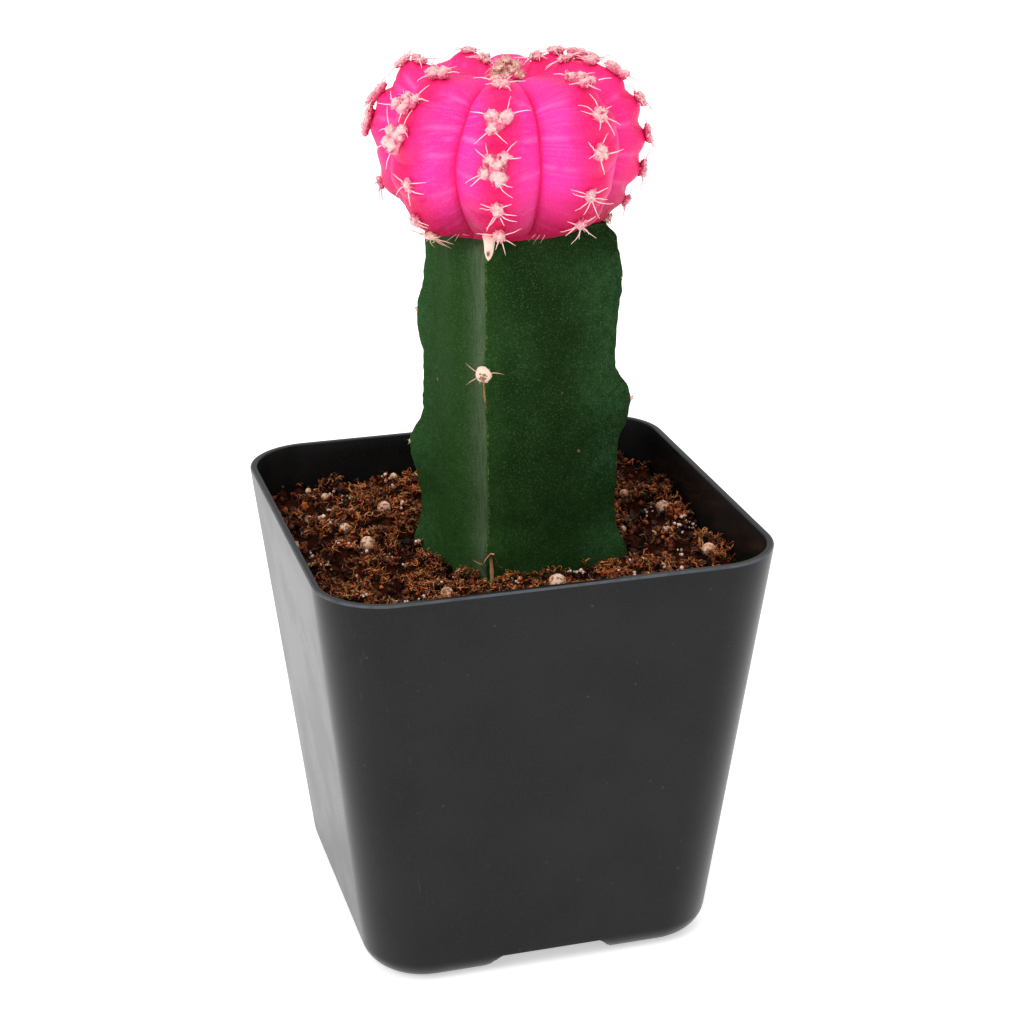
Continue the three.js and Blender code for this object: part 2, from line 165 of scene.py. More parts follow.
class SmoothLine:
    """A smooth line through given points, read by the share of its length."""

    def __init__(self, points: np.ndarray, steps: int = 40) -> None:
        """Samples the line.

        Args:
            points: The points that it passes through, in order.
            steps: Samples between two points.
        """
        through = np.asarray(points, dtype=float)
        padded = np.vstack([through[:1], through, through[-1:]])
        t = np.linspace(0, 1, steps, endpoint=False)[:, None]
        pieces = []
        for index in range(len(through) - 1):
            before, start, end, after = padded[index : index + 4]
            leave, arrive = (end - before) / 2, (after - start) / 2
            cubic = 2 * start - 2 * end + leave + arrive
            square = -3 * start + 3 * end - 2 * leave - arrive
            pieces.append(cubic * t**3 + square * t**2 + leave * t + start)
        self.samples = np.vstack([*pieces, through[-1:]])
        walked = np.cumsum(np.linalg.norm(np.diff(self.samples, axis=0), axis=1))
        self.length = float(walked[-1])
        self.shares = np.concatenate([[0.0], walked]) / self.length

    def at(self, share: np.ndarray) -> np.ndarray:
        """Points at shares of the length."""
        columns = [np.interp(share, self.shares, column) for column in self.samples.T]
        return np.stack(columns, axis=-1)

    def along(self, share: np.ndarray) -> np.ndarray:
        """Directions of the line at shares of the length.

        Args:
            share: The shares.

        Returns:
            Directions of length one.
        """
        near = 0.003
        after, before = np.clip(share + near, 0, 1), np.clip(share - near, 0, 1)
        return unit(self.at(after) - self.at(before))


# Meshes


class MeshBatch:
    """Gathers many small surfaces into one mesh, with a value for each point."""

    def __init__(self) -> None:
        """Starts with no points."""
        self.points: list[np.ndarray] = []
        self.faces: list[np.ndarray] = []
        self.values: dict[str, list[np.ndarray]] = {}
        self.count = 0

    def add(self, points: np.ndarray, faces: np.ndarray, **values: Numbers) -> None:
        """Adds a surface.

        Args:
            points: Its points, in millimetres.
            faces: Rows of three or four point numbers.
            **values: A value for all its points, or one for each. It is 0 where left out.
        """
        points = points.reshape(-1, 3)
        self.points.append(points)
        self.faces.append(np.asarray(faces) + self.count)
        for name in [*self.values, *(name for name in values if name not in self.values)]:
            blocks = self.values.setdefault(name, [np.zeros(self.count)])
            value = np.asarray(values.get(name, 0.0), float).ravel()
            blocks.append(np.broadcast_to(value, (len(points),)))
        self.count += len(points)

    def build(self, name: str, sharp: float = 180.0, weld: bool = False) -> bpy.types.Object:
        """Makes the object, in metres.

        Args:
            name: The piece's name.
            sharp: Edges that turn by more degrees than this are sharp.
            weld: Whether points in one place become one.

        Returns:
            The new object, in the scene.
        """
        mesh = bpy.data.meshes.new(name)
        faces = [face for block in self.faces for face in block.tolist()]
        mesh.from_pydata((np.concatenate(self.points) * MM).tolist(), [], faces)
        for label, blocks in self.values.items():
            layer = mesh.attributes.new(label, "FLOAT", "POINT")
            layer.data.foreach_set("value", np.concatenate(blocks).astype(np.float32))
        if weld:
            weld_points(mesh)
        mesh.polygons.foreach_set("use_smooth", np.ones(len(mesh.polygons), dtype=bool))
        if sharp < 180:
            mesh.set_sharp_from_angle(angle=math.radians(sharp))
        mesh.update()
        piece = bpy.data.objects.new(name, mesh)
        bpy.context.scene.collection.objects.link(piece)
        return piece


def weld_points(mesh: bpy.types.Mesh) -> None:
    """Joins the points of a mesh that lie in one place.

    Args:
        mesh: The mesh.
    """
    work = bmesh.new()
    work.from_mesh(mesh)
    bmesh.ops.remove_doubles(work, verts=work.verts, dist=SAME_PLACE)
    work.to_mesh(mesh)
    work.free()


def grid_faces(rows: int, columns: int, wrap: bool) -> np.ndarray:
    """Quads over rows and columns of points.

    Args:
        rows: How many rows.
        columns: How many points in a row.
        wrap: Whether each row is closed to a ring.

    Returns:
        Four point numbers for each quad.
    """
    across = columns if wrap else columns - 1
    row, column = np.meshgrid(np.arange(rows - 1), np.arange(across), indexing="ij")
    row, column = row.ravel(), column.ravel()
    beside = (column + 1) % columns
    corners = [
        row * columns + column,
        row * columns + beside,
        (row + 1) * columns + beside,
        (row + 1) * columns + column,
    ]
    return np.stack(corners, axis=-1)


def cap_faces(first: int, columns: int, centre: int, upwards: bool) -> np.ndarray:
    """Triangles from a ring of points to a centre point.

    Args:
        first: Number of the ring's first point.
        columns: How many points the ring has.
        centre: Number of the centre point.
        upwards: Whether the triangles face up.

    Returns:
        Three point numbers for each triangle.
    """
    ring = first + np.arange(columns)
    beside = first + (np.arange(columns) + 1) % columns
    middle = np.full(columns, centre)
    order = [ring, beside, middle] if upwards else [beside, ring, middle]
    return np.stack(order, axis=-1)


def ball(detail: int) -> tuple[np.ndarray, np.ndarray]:
    """A round template of radius one.

    Args:
        detail: How often its faces are split.

    Returns:
        Points and triangles.
    """
    work = bmesh.new()
    bmesh.ops.create_icosphere(work, subdivisions=detail, radius=1.0)
    points = np.array([vert.co[:] for vert in work.verts])
    faces = np.array([[vert.index for vert in face.verts] for face in work.faces])
    work.free()
    return points, faces


def random_turns(random: np.random.Generator, count: int) -> np.ndarray:
    """Rotation matrices in every direction.

    Args:
        random: Source of the directions.
        count: How many.

    Returns:
        The matrices.
    """
    w, x, y, z = unit(random.normal(size=(count, 4))).T
    rows = [
        [1 - 2 * (y * y + z * z), 2 * (x * y - z * w), 2 * (x * z + y * w)],
        [2 * (x * y + z * w), 1 - 2 * (x * x + z * z), 2 * (y * z - x * w)],
        [2 * (x * z - y * w), 2 * (y * z + x * w), 1 - 2 * (x * x + y * y)],
    ]
    return np.array(rows).transpose(2, 0, 1)


def frame_on(normal: np.ndarray, spin: float = 0.0) -> np.ndarray:
    """Axes on a surface.

    Args:
        normal: Outwards from the surface.
        spin: Turn of the first two axes round it, in radians.

    Returns:
        Sideways, upwards along the surface and outwards, as columns.
    """
    outwards = unit(normal)
    side = np.cross(UP, outwards)
    side = unit(side if np.linalg.norm(side) > 1e-3 else np.array([1.0, 0.0, 0.0]))
    upwards = np.cross(outwards, side)
    c, s = math.cos(spin), math.sin(spin)
    return np.stack([c * side + s * upwards, c * upwards - s * side, outwards], axis=-1)


def spread(values: dict[str, Numbers], total: int) -> dict[str, np.ndarray]:
    """Each set of values repeated evenly over a number of points.

    Args:
        values: One or more amounts for each name.
        total: How many points.

    Returns:
        One amount for each point, by name.
    """
    return {
        name: np.repeat(np.ravel(value), total // np.size(value)) for name, value in values.items()
    }


def add_blobs(
    batch: MeshBatch, template: tuple[np.ndarray, np.ndarray], centres: np.ndarray,
    sizes: np.ndarray, turns: np.ndarray, lumpy: float, pitch: float, seed: int,
    **values: Numbers,
) -> None:
    """Adds many lumpy balls.

    Args:
        batch: Where they go.
        template: Points and triangles of a round ball.
        centres: Middle of each.
        sizes: Half lengths of each along its own three axes.
        turns: Rotation matrix of each.
        lumpy: How far lumps stand out, as a share of the radius.
        pitch: Lumps across a radius.
        seed: Picks the lumps.
        **values: One value for all or for each. "crown" is made here: 0 underneath, 1 on top.
    """
    points, faces = template
    count, size = len(centres), len(points)
    apart = np.arange(count)[:, None, None] * 7.31
    swell = 1 + lumpy * layered_noise(points[None] * pitch + apart, seed, 2)
    shaped = points[None] * swell[..., None] * sizes[:, None, :]
    placed = np.einsum("nij,nvj->nvi", turns, shaped) + centres[:, None, :]
    numbered = faces[None] + (np.arange(count) * size)[:, None, None]
    crown = np.tile(points[:, 2] * 0.5 + 0.5, count)
    batch.add(placed, numbered.reshape(-1, 3), **spread(values, count * size), crown=crown)


def add_strands(
    batch: MeshBatch, paths: np.ndarray, radii: np.ndarray, sideways: np.ndarray, sides: int,
    **values: Numbers,
) -> None:
    """Adds many round, tapered strands.

    Args:
        batch: Where they go.
        paths: Points along each strand, or along one.
        radii: Radius at each point, for all strands or for each.
        sideways: A direction across all strands or across each, all along it.
        sides: Faces round a strand.
        **values: One value for all, for each strand, or for each point along each strand.
            "reach" is made here: 0 at the root, 1 at the tip.
    """
    paths = paths.reshape(-1, *paths.shape[-2:])
    count, steps, _ = paths.shape
    radii = np.broadcast_to(radii, (count, steps))
    along = unit(np.gradient(paths, axis=1))
    first = unit(np.cross(along, np.broadcast_to(sideways.reshape(-1, 1, 3), along.shape)))
    second = np.cross(along, first)
    angle = np.arange(sides) * 2 * math.pi / sides
    ring = first[:, :, None, :] * np.cos(angle)[:, None]
    ring = ring + second[:, :, None, :] * np.sin(angle)[:, None]
    points = paths[:, :, None, :] + ring * radii[:, :, None, None]
    one = grid_faces(steps, sides, wrap=True)
    numbered = one[None] + (np.arange(count) * steps * sides)[:, None, None]
    reach = np.tile(np.repeat(np.linspace(0, 1, steps), sides), count)
    batch.add(points, numbered.reshape(-1, 4), **spread(values, count * steps * sides), reach=reach)


def settle(
    batch: MeshBatch, name: str, slot: str, finish: "Finish", stands_for: str = "",
    **shape: float | bool,
) -> bpy.types.Object:
    """Makes a piece, with its finish and its body.

    Args:
        batch: The piece's surfaces.
        name: The piece's name.
        slot: The record's material slot. It is not used.
        finish: The finish, which makes its material.
        stands_for: The CAD node that the piece replaces, if any.
        **shape: How the batch builds its mesh.

    Returns:
        The piece.
    """
    piece = batch.build(name, **shape)
    piece.data.materials.append(finish.material())
    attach(piece, "root")
    if stands_for:
        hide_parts(stands_for)
    faces = sum(len(face.vertices) - 2 for face in piece.data.polygons)
    LOG.info("%s: %d triangles", piece.name, faces)
    return piece


# Shader nodes


def screen(red: float, green: float, blue: float) -> Colour:
    """Linear colour of screen values from 0 to 255."""
    parts = [value / 255 for value in (red, green, blue)]
    return tuple(c / 12.92 if c <= 0.04045 else ((c + 0.055) / 1.055) ** 2.4 for c in parts)


class Wire:
    """An output on a node sheet. Sums and products with it are wires too."""

    def __init__(self, sheet: "NodeSheet", socket: Socket) -> None:
        """Holds an output of a sheet."""
        self.sheet = sheet
        self.socket = socket

    def __add__(self, other: "Value") -> "Wire":
        """This and another."""
        return self.sheet.maths("ADD", self, other)

    def __sub__(self, other: "Value") -> "Wire":
        """This less another."""
        return self.sheet.maths("SUBTRACT", self, other)

    def __rsub__(self, other: float) -> "Wire":
        """A number less this."""
        return self.sheet.maths("SUBTRACT", other, self)

    def __mul__(self, other: "Value") -> "Wire":
        """This times another."""
        return self.sheet.maths("MULTIPLY", self, other)

    def span(self, low: float, high: float, start: float = 0.0, end: float = 1.0) -> "Wire":
        """Eased change from start to end as this goes from low to high."""
        inputs = {"Value": self, 1: low, 2: high, 3: start, 4: end}
        return self.sheet.wire("ShaderNodeMapRange", inputs, interpolation_type="SMOOTHSTEP")

    def under(self, other: "Tone", share: "Value") -> "Wire":
        """This colour under a share of another."""
        return self.sheet.blend(self, other, share)

    def noise(self, scale: "Value", detail: float = 3.0, roughness: float = 0.5) -> "Wire":
        """Cloudy noise around one half, at this place."""
        inputs = {"Vector": self, "Scale": scale, "Detail": detail, "Roughness": roughness}
        return self.sheet.wire("ShaderNodeTexNoise", inputs)

    def stretched(self, x: float, y: float, z: float) -> "Wire":
        """This place with each of its axes multiplied."""
        inputs = {0: self, 1: (x, y, z)}
        return self.sheet.wire("ShaderNodeVectorMath", inputs, operation="MULTIPLY")

    def mottle(self, scale: float, dark: Colour, light: Colour) -> tuple["Wire", "Wire"]:
        """Cloudy change between two colours.

        Args:
            scale: How fine the clouds are.
            dark: One colour.
            light: The other.

        Returns:
            The colour, and how much of it is the light one.
        """
        inputs = {"Place": self, "Scale": scale, "Dark": dark, "Light": light}
        made = self.sheet.place("ShaderNodeGroup", inputs, node_tree=mottle_effect()).outputs
        return Wire(self.sheet, made["Colour"]), Wire(self.sheet, made["Mask"])

    def specks(self, scale: float, size: float, share: float) -> "Wire":
        """Scattered specks: cells for each millimetre, radius in a cell, share of cells."""
        inputs = {"Place": self, "Scale": scale, "Size": size, "Share": share}
        return self.sheet.wire("ShaderNodeGroup", inputs, node_tree=specks_effect())

    def grain(self, scale: float, evenness: float) -> "Wire":
        """Height of a fine pebbled grain."""
        inputs = {"Place": self, "Scale": scale, "Evenness": evenness}
        return self.sheet.wire("ShaderNodeGroup", inputs, node_tree=grain_effect())


Value = float | Wire
Tone = Colour | Wire


class NodeSheet:
    """Short calls that place and join the nodes of one material or group."""

    def __init__(self, tree: bpy.types.NodeTree) -> None:
        """Starts on an empty tree."""
        self.tree = tree
        self.tree.nodes.clear()

    def place(self, kind: str, inputs: dict | None = None, **settings: object) -> bpy.types.Node:
        """Adds a node.

        Args:
            kind: Blender's name of the node type.
            inputs: A value or a wire for each named or numbered input.
            **settings: The node's own settings.

        Returns:
            The node.
        """
        node = self.tree.nodes.new(kind)
        for name, value in settings.items():
            setattr(node, name, value)
        for name, value in (inputs or {}).items():
            self.feed(node.inputs[name], value)
        return node

    def wire(
        self, kind: str, inputs: dict | None = None, output: int | str = 0, **settings: object
    ) -> Wire:
        """Adds a node and takes one of its outputs.

        Args:
            kind: Blender's name of the node type.
            inputs: A value or a wire for each named or numbered input.
            output: Which output.
            **settings: The node's own settings.

        Returns:
            The output.
        """
        return Wire(self, self.place(kind, inputs, **settings).outputs[output])

    def feed(self, target: Socket, value: Value | Tone) -> None:
        """Joins a wire to an input, or sets the input's value.

        Args:
            target: The input.
            value: The wire or the value.
        """
        if isinstance(value, Wire):
            self.tree.links.new(value.socket, target)
        elif target.type == "RGBA":
            target.default_value = (*value, 1.0)
        else:
            target.default_value = value

    def position(self) -> Wire:
        """Place on the object, in millimetres."""
        inputs = {0: self.wire("ShaderNodeTexCoord", output="Object"), "Scale": 1 / MM}
        return self.wire("ShaderNodeVectorMath", inputs, operation="SCALE")

    def value(self, name: str) -> Wire:
        """A value that the mesh holds for each point."""
        return self.wire("ShaderNodeAttribute", output="Fac", attribute_name=name)

    def maths(self, operation: str, first: Value, second: Value, clamp: bool = False) -> Wire:
        """Result of a calculation on two values."""
        inputs = {0: first, 1: second}
        return self.wire("ShaderNodeMath", inputs, operation=operation, use_clamp=clamp)

    def blend(self, first: Tone, second: Tone, share: Value) -> Wire:
        """A colour with a share of another over it."""
        inputs = {0: share, 6: first, 7: second}
        return self.wire("ShaderNodeMix", inputs, 2, data_type="RGBA")

    def surface(
        self, colour: Tone, roughness: Value, relief: Wire | None = None, depth: float = 0.0,
        constants: dict | None = None,
    ) -> None:
        """Ends a material with its shader.

        Args:
            colour: Base colour.
            roughness: Roughness.
            relief: Height of the fine relief, if there is one.
            depth: Depth of that relief, in millimetres.
            constants: What else is set on the shader, by socket.
        """
        inputs = {"Base Color": colour, "Roughness": roughness, **(constants or {})}
        if relief is not None:
            bumps = {"Height": relief, "Distance": depth * MM, "Strength": 1.0}
            inputs["Normal"] = self.wire("ShaderNodeBump", bumps)
        shader = self.place("ShaderNodeBsdfPrincipled", inputs)
        output = self.place("ShaderNodeOutputMaterial")
        self.tree.links.new(shader.outputs[0], output.inputs[0])


class Kind(Enum):
    """Kinds of socket on a shared effect."""

    VALUE = "NodeSocketFloat"
    PLACE = "NodeSocketVector"
    COLOUR = "NodeSocketColor"


def open_group(
    name: str, inputs: dict[str, Kind], outputs: dict[str, Kind]
) -> tuple[NodeSheet, dict[str, Wire], bpy.types.NodeInputs]:
    """Starts a shared effect.

    Args:
        name: The group's name.
        inputs: Kind of each named input.
        outputs: Kind of each named output.

    Returns:
        Its sheet, what it is given and what it has to put out.
    """
    tree = bpy.data.node_groups.new(name, "ShaderNodeTree")
    for side, sockets in (("INPUT", inputs), ("OUTPUT", outputs)):
        for label, kind in sockets.items():
            tree.interface.new_socket(name=label, in_out=side, socket_type=kind.value)
    sheet = NodeSheet(tree)
    start = sheet.place("NodeGroupInput").outputs
    given = {label: Wire(sheet, start[label]) for label in inputs}
    return sheet, given, sheet.place("NodeGroupOutput").inputs


@cache
def mottle_effect() -> bpy.types.NodeTree:
    """Soft cloudy change between two colours.

    Returns:
        The effect's group.
    """
    inputs = {"Place": Kind.PLACE, "Scale": Kind.VALUE, "Dark": Kind.COLOUR, "Light": Kind.COLOUR}
    outputs = {"Colour": Kind.COLOUR, "Mask": Kind.VALUE}
    sheet, given, made = open_group("mottle", inputs, outputs)
    mask = given["Place"].noise(given["Scale"], 4, 0.55).span(0.36, 0.66)
    sheet.feed(made["Colour"], given["Dark"].under(given["Light"], mask))
    sheet.feed(made["Mask"], mask)
    return sheet.tree


@cache
def specks_effect() -> bpy.types.NodeTree:
    """Scattered round specks, some fainter than others.

    Returns:
        The effect's group.
    """
    inputs = {"Place": Kind.PLACE, "Scale": Kind.VALUE, "Size": Kind.VALUE, "Share": Kind.VALUE}
    sheet, given, made = open_group("specks", inputs, {"Mask": Kind.VALUE})
    spaced = {"Vector": given["Place"], "Scale": given["Scale"]}
    cells = sheet.place("ShaderNodeTexVoronoi", spaced).outputs
    inside = given["Size"] - Wire(sheet, cells["Distance"])
    dot = sheet.maths("MULTIPLY", inside, 9.0, clamp=True)
    picked = {0: Wire(sheet, cells["Color"])}
    split = sheet.place("ShaderNodeSeparateColor", picked).outputs
    chosen = sheet.maths("LESS_THAN", Wire(sheet, split[0]), given["Share"])
    sheet.feed(made["Mask"], dot * Wire(sheet, split[1]) * chosen)
    return sheet.tree


@cache
def grain_effect() -> bpy.types.NodeTree:
    """Fine pebbled grain with slow changes in strength.

    Returns:
        The effect's group.
    """
    inputs = {"Place": Kind.PLACE, "Scale": Kind.VALUE, "Evenness": Kind.VALUE}
    sheet, given, made = open_group("grain", inputs, {"Height": Kind.VALUE})
    slow = given["Place"].noise(0.12, 2).span(0.3, 0.7)
    strength = sheet.maths("MAXIMUM", slow, given["Evenness"])
    sheet.feed(made["Height"], given["Place"].noise(given["Scale"], 2, 0.6) * strength)
    return sheet.tree


# Finishes


class Finish:
    """A finish that makes its material once."""

    def material(self) -> bpy.types.Material:
        """The finish's material.

        Returns:
            The material, made at the first call.
        """
        name = type(self).__name__
        found = bpy.data.materials.get(name)
        if found is None:
            found = bpy.data.materials.new(name)
            found.use_nodes = True
            self.paint(NodeSheet(found.node_tree))
        return found

    def paint(self, sheet: NodeSheet) -> None:
        """Places the material's nodes on its sheet."""
        raise NotImplementedError


@dataclass(frozen=True)
class MouldedPlastic(Finish):
    """Satin black plastic with a faint grain, dust specks, rubbed streaks and a painted highlight on
    the rim.
    """

    dark: Colour = screen(13, 13, 13)
    light: Colour = screen(19, 19, 19)
    dust: Colour = screen(120, 120, 120)
    # Light bluish grey of the painted highlight on the rim.
    rubbed: Colour = screen(62, 63, 65)
    edge: Colour = screen(76, 80, 86)
    relief: float = 0.006
    refraction: float = 1.28

    def paint(self, sheet: NodeSheet) -> None:
        """Places the material's nodes on its sheet.

        Args:
            sheet: The material's sheet.
        """
        place = sheet.position()
        colour, cloudy = place.mottle(0.07, self.dark, self.light)
        scratch = place.stretched(1.6, 1.6, 0.07).noise(1.3, 4, 0.65).span(0.62, 0.72)
        rub = scratch * place.noise(0.06, 2).span(0.45, 0.7)
        colour = colour.under(self.rubbed, rub * 0.22)
        colour = colour.under(self.dust, place.specks(0.55, 0.16, 0.2) * 0.14)
        fine = place.noise(3.2, 3, 0.7).span(0.45, 0.75, 0.0, 0.12)
        colour = colour.under(self.rubbed, fine)
        # Painted highlight: full on the rim's rounded outer edge and faint on its flat top, broken
        # up by noise.
        worn = place.noise(0.5, 4, 0.6).span(0.25, 0.6, 0.6, 1.0)
        colour = colour.under(self.edge, sheet.value("rim_sheen").span(0.1, 0.7) * worn)
        roughness = cloudy.span(0, 1, 0.27, 0.3) + rub * 0.1
        drawn = place.stretched(2.4, 2.4, 0.05).noise(1.0, 4, 0.7)
        height = place.grain(3.2, 0.45) + drawn * 1.1 - place.specks(0.45, 0.14, 0.35) * 2.0
        sheet.surface(colour, roughness, height, self.relief, {"IOR": self.refraction})


@dataclass(frozen=True)
class PeatBed(Finish):
    """Brown peat between the crumbs, mottled with near black that is painted shade for the gaps."""

    # Near black of the painted shade in the gaps between crumbs.
    gap: Colour = screen(9, 4, 2)
    crumb: Colour = screen(62, 25, 10)
    fibre: Colour = screen(116, 52, 20)
    relief: float = 0.35
    gloss: float = 0.06

    def paint(self, sheet: NodeSheet) -> None:
        """Places the material's nodes on its sheet.

        Args:
            sheet: The material's sheet.
        """
        place = sheet.position()
        # Peat brown mottled with the painted shade of the gaps.
        colour, _ = place.mottle(0.55, self.gap, self.crumb)
        thread = place.stretched(1.0, 1.6, 1.3).noise(2.4, 5, 0.7)
        colour = colour.under(self.fibre, thread.span(0.52, 0.66) * 0.35)
        roughness = thread.span(0.3, 0.7, 0.95, 0.8)
        height = place.noise(2.2, 5, 0.7)
        sheet.surface(colour, roughness, height, self.relief, {"Specular IOR Level": self.gloss})


@dataclass(frozen=True)
class CoirCrumb(Finish):
    """Reddish-brown crumb and curled fibre, each a little different, with painted light: straw-pale
    high tops and painted shade low down.
    """

    deep: Colour = screen(8, 3, 1)
    brown: Colour = screen(134, 54, 18)
    orange: Colour = screen(244, 126, 54)
    straw: Colour = screen(255, 194, 122)
    relief: float = 0.12
    gloss: float = 0.24

    def paint(self, sheet: NodeSheet) -> None:
        """Places the material's nodes on its sheet.

        Args:
            sheet: The material's sheet.
        """
        place = sheet.position()
        tone = sheet.value("tone")
        colour = sheet.blend(self.deep, self.brown, tone.span(0.0, 0.5))
        colour = colour.under(self.orange, tone.span(0.45, 0.85))
        colour = colour.under(self.straw, tone.span(0.88, 1.0))
        cloud = place.noise(1.8, 4, 0.65)
        colour = colour.under(self.deep, cloud.span(0.35, 0.7, 0.5, 0.0))
        # Painted light: straw-pale on the highest parts; painted shade: near black low down and in
        # hollows.
        lit_tops = sheet.value("proud") * cloud.span(0.42, 0.62)
        colour = colour.under(self.straw, lit_tops * 0.4).under(self.deep, sheet.value("sunk") * 0.9)
        roughness = cloud.span(0.3, 0.7, 0.34, 0.58)
        height = place.noise(5.0, 3, 0.7)
        sheet.surface(colour, roughness, height, self.relief, {"Specular IOR Level": self.gloss})


@dataclass(frozen=True)
class ChalkyPrill(Finish):
    """Chalky beige shell of a feed prill, stained by the soil and darker towards its underside."""

    chalk: Colour = screen(238, 200, 172)
    tan: Colour = screen(204, 150, 114)
    stain: Colour = screen(84, 42, 24)
    white: Colour = screen(252, 226, 208)
    relief: float = 0.1

    def paint(self, sheet: NodeSheet) -> None:
        """Places the material's nodes on its sheet.

        Args:
            sheet: The material's sheet.
        """
        place = sheet.position()
        colour, _ = place.mottle(0.9, self.tan, self.chalk)
        pits = place.specks(1.35, 0.27, 0.8)
        dirt = place.noise(1.7, 4, 0.6).span(0.5, 0.58)
        low = sheet.value("crown").span(0.1, 0.5, 0.7, 0.0)
        # Stain colour in pits and dirt, and darker towards the underside of each prill.
        for share in (pits * 0.85, dirt * 0.8, low):
            colour = colour.under(self.stain, share)
        colour = colour.under(self.white, sheet.value("white"))
        sheet.surface(colour, dirt.span(0, 1, 0.6, 0.85), place.noise(3.0, 3) - pits, self.relief)


@dataclass(frozen=True)
class WaxyGreen(Finish):
    """Waxy dark green skin with pale pores, bloom on the lobes and corky edges, and painted light
    and sheen.
    """

    deep: Colour = screen(21, 42, 15)
    green: Colour = screen(32, 57, 26)
    bloom: Colour = screen(50, 87, 55)
    # Lighter green of the painted light low on the stem and on its left side.
    foot: Colour = screen(48, 84, 36)
    # Grey-green of the painted sheen beside the front edge.
    pale: Colour = screen(98, 110, 88)
    pore: Colour = screen(104, 136, 92)
    cork: Colour = screen(118, 148, 74)
    brown: Colour = screen(190, 152, 88)
    relief: float = 0.06
    gloss: float = 0.008

    def paint(self, sheet: NodeSheet) -> None:
        """Places the material's nodes on its sheet.

        Args:
            sheet: The material's sheet.
        """
        place = sheet.position()
        small = place.noise(0.9, 4, 0.6)
        colour = self.broad_tones(sheet, place, small)
        dots = sheet.maths("MAXIMUM", place.specks(2.0, 0.2, 0.5), place.specks(4.2, 0.24, 0.6))
        dust = place.noise(3.6, 3, 0.75)
        colour = colour.under(self.pore, dots * 0.48)
        colour = colour.under(self.pore, dust.span(0.5, 0.75, 0.0, 0.26))
        colour = colour.under(self.deep, dust.span(0.28, 0.48, 0.4, 0.0))
        colour = colour.under(self.brown, place.specks(0.3, 0.1, 0.3))
        rim = sheet.value("edge").span(0.3, 0.9) * place.noise(1.8, 4, 0.7).span(0.46, 0.56)
        colour = colour.under(self.cork, rim * 0.5)
        rust = sheet.value("worn") * small.span(0.3, 0.5, 0.4, 1.0)
        colour = colour.under(self.brown, rust * 0.9)
        height = place.grain(2.6, 0.6) + rim * 2.0 + dots * 0.5
        roughness = small.span(0.3, 0.7, 0.5, 0.62) + rim * 0.25
        sheet.surface(colour, roughness, height, self.relief, {"Specular IOR Level": self.gloss})

    def broad_tones(self, sheet: NodeSheet, place: Wire, small: Wire) -> Wire:
        """Greens of the flanks, the bloom on the lobes and painted light: lighter green low down and
        on the left, and a pale painted sheen beside the front edge.

        Args:
            sheet: The material's sheet.
            place: Place on the stem.
            small: Small cloudy noise.

        Returns:
            Their colour.
        """
        colour, _ = place.mottle(0.11, self.deep, self.green)
        # Painted light: lighter green low on the stem and on its left side.
        colour = colour.under(self.foot, sheet.value("foot"))
        colour = colour.under(self.deep, small.span(0.35, 0.75, 0.35, 0.0))
        lobes = sheet.value("bloom") * small.span(0.2, 0.7)
        streak = place.stretched(1.6, 1.6, 0.25).noise(1.2, 4, 0.6)
        # Painted sheen: a pale stripe beside the front edge, where that edge catches the light.
        band = sheet.value("band") * streak.span(0.25, 0.65, 0.4, 1.0)
        return colour.under(self.bloom, lobes * 0.42).under(self.pale, band * 0.55)


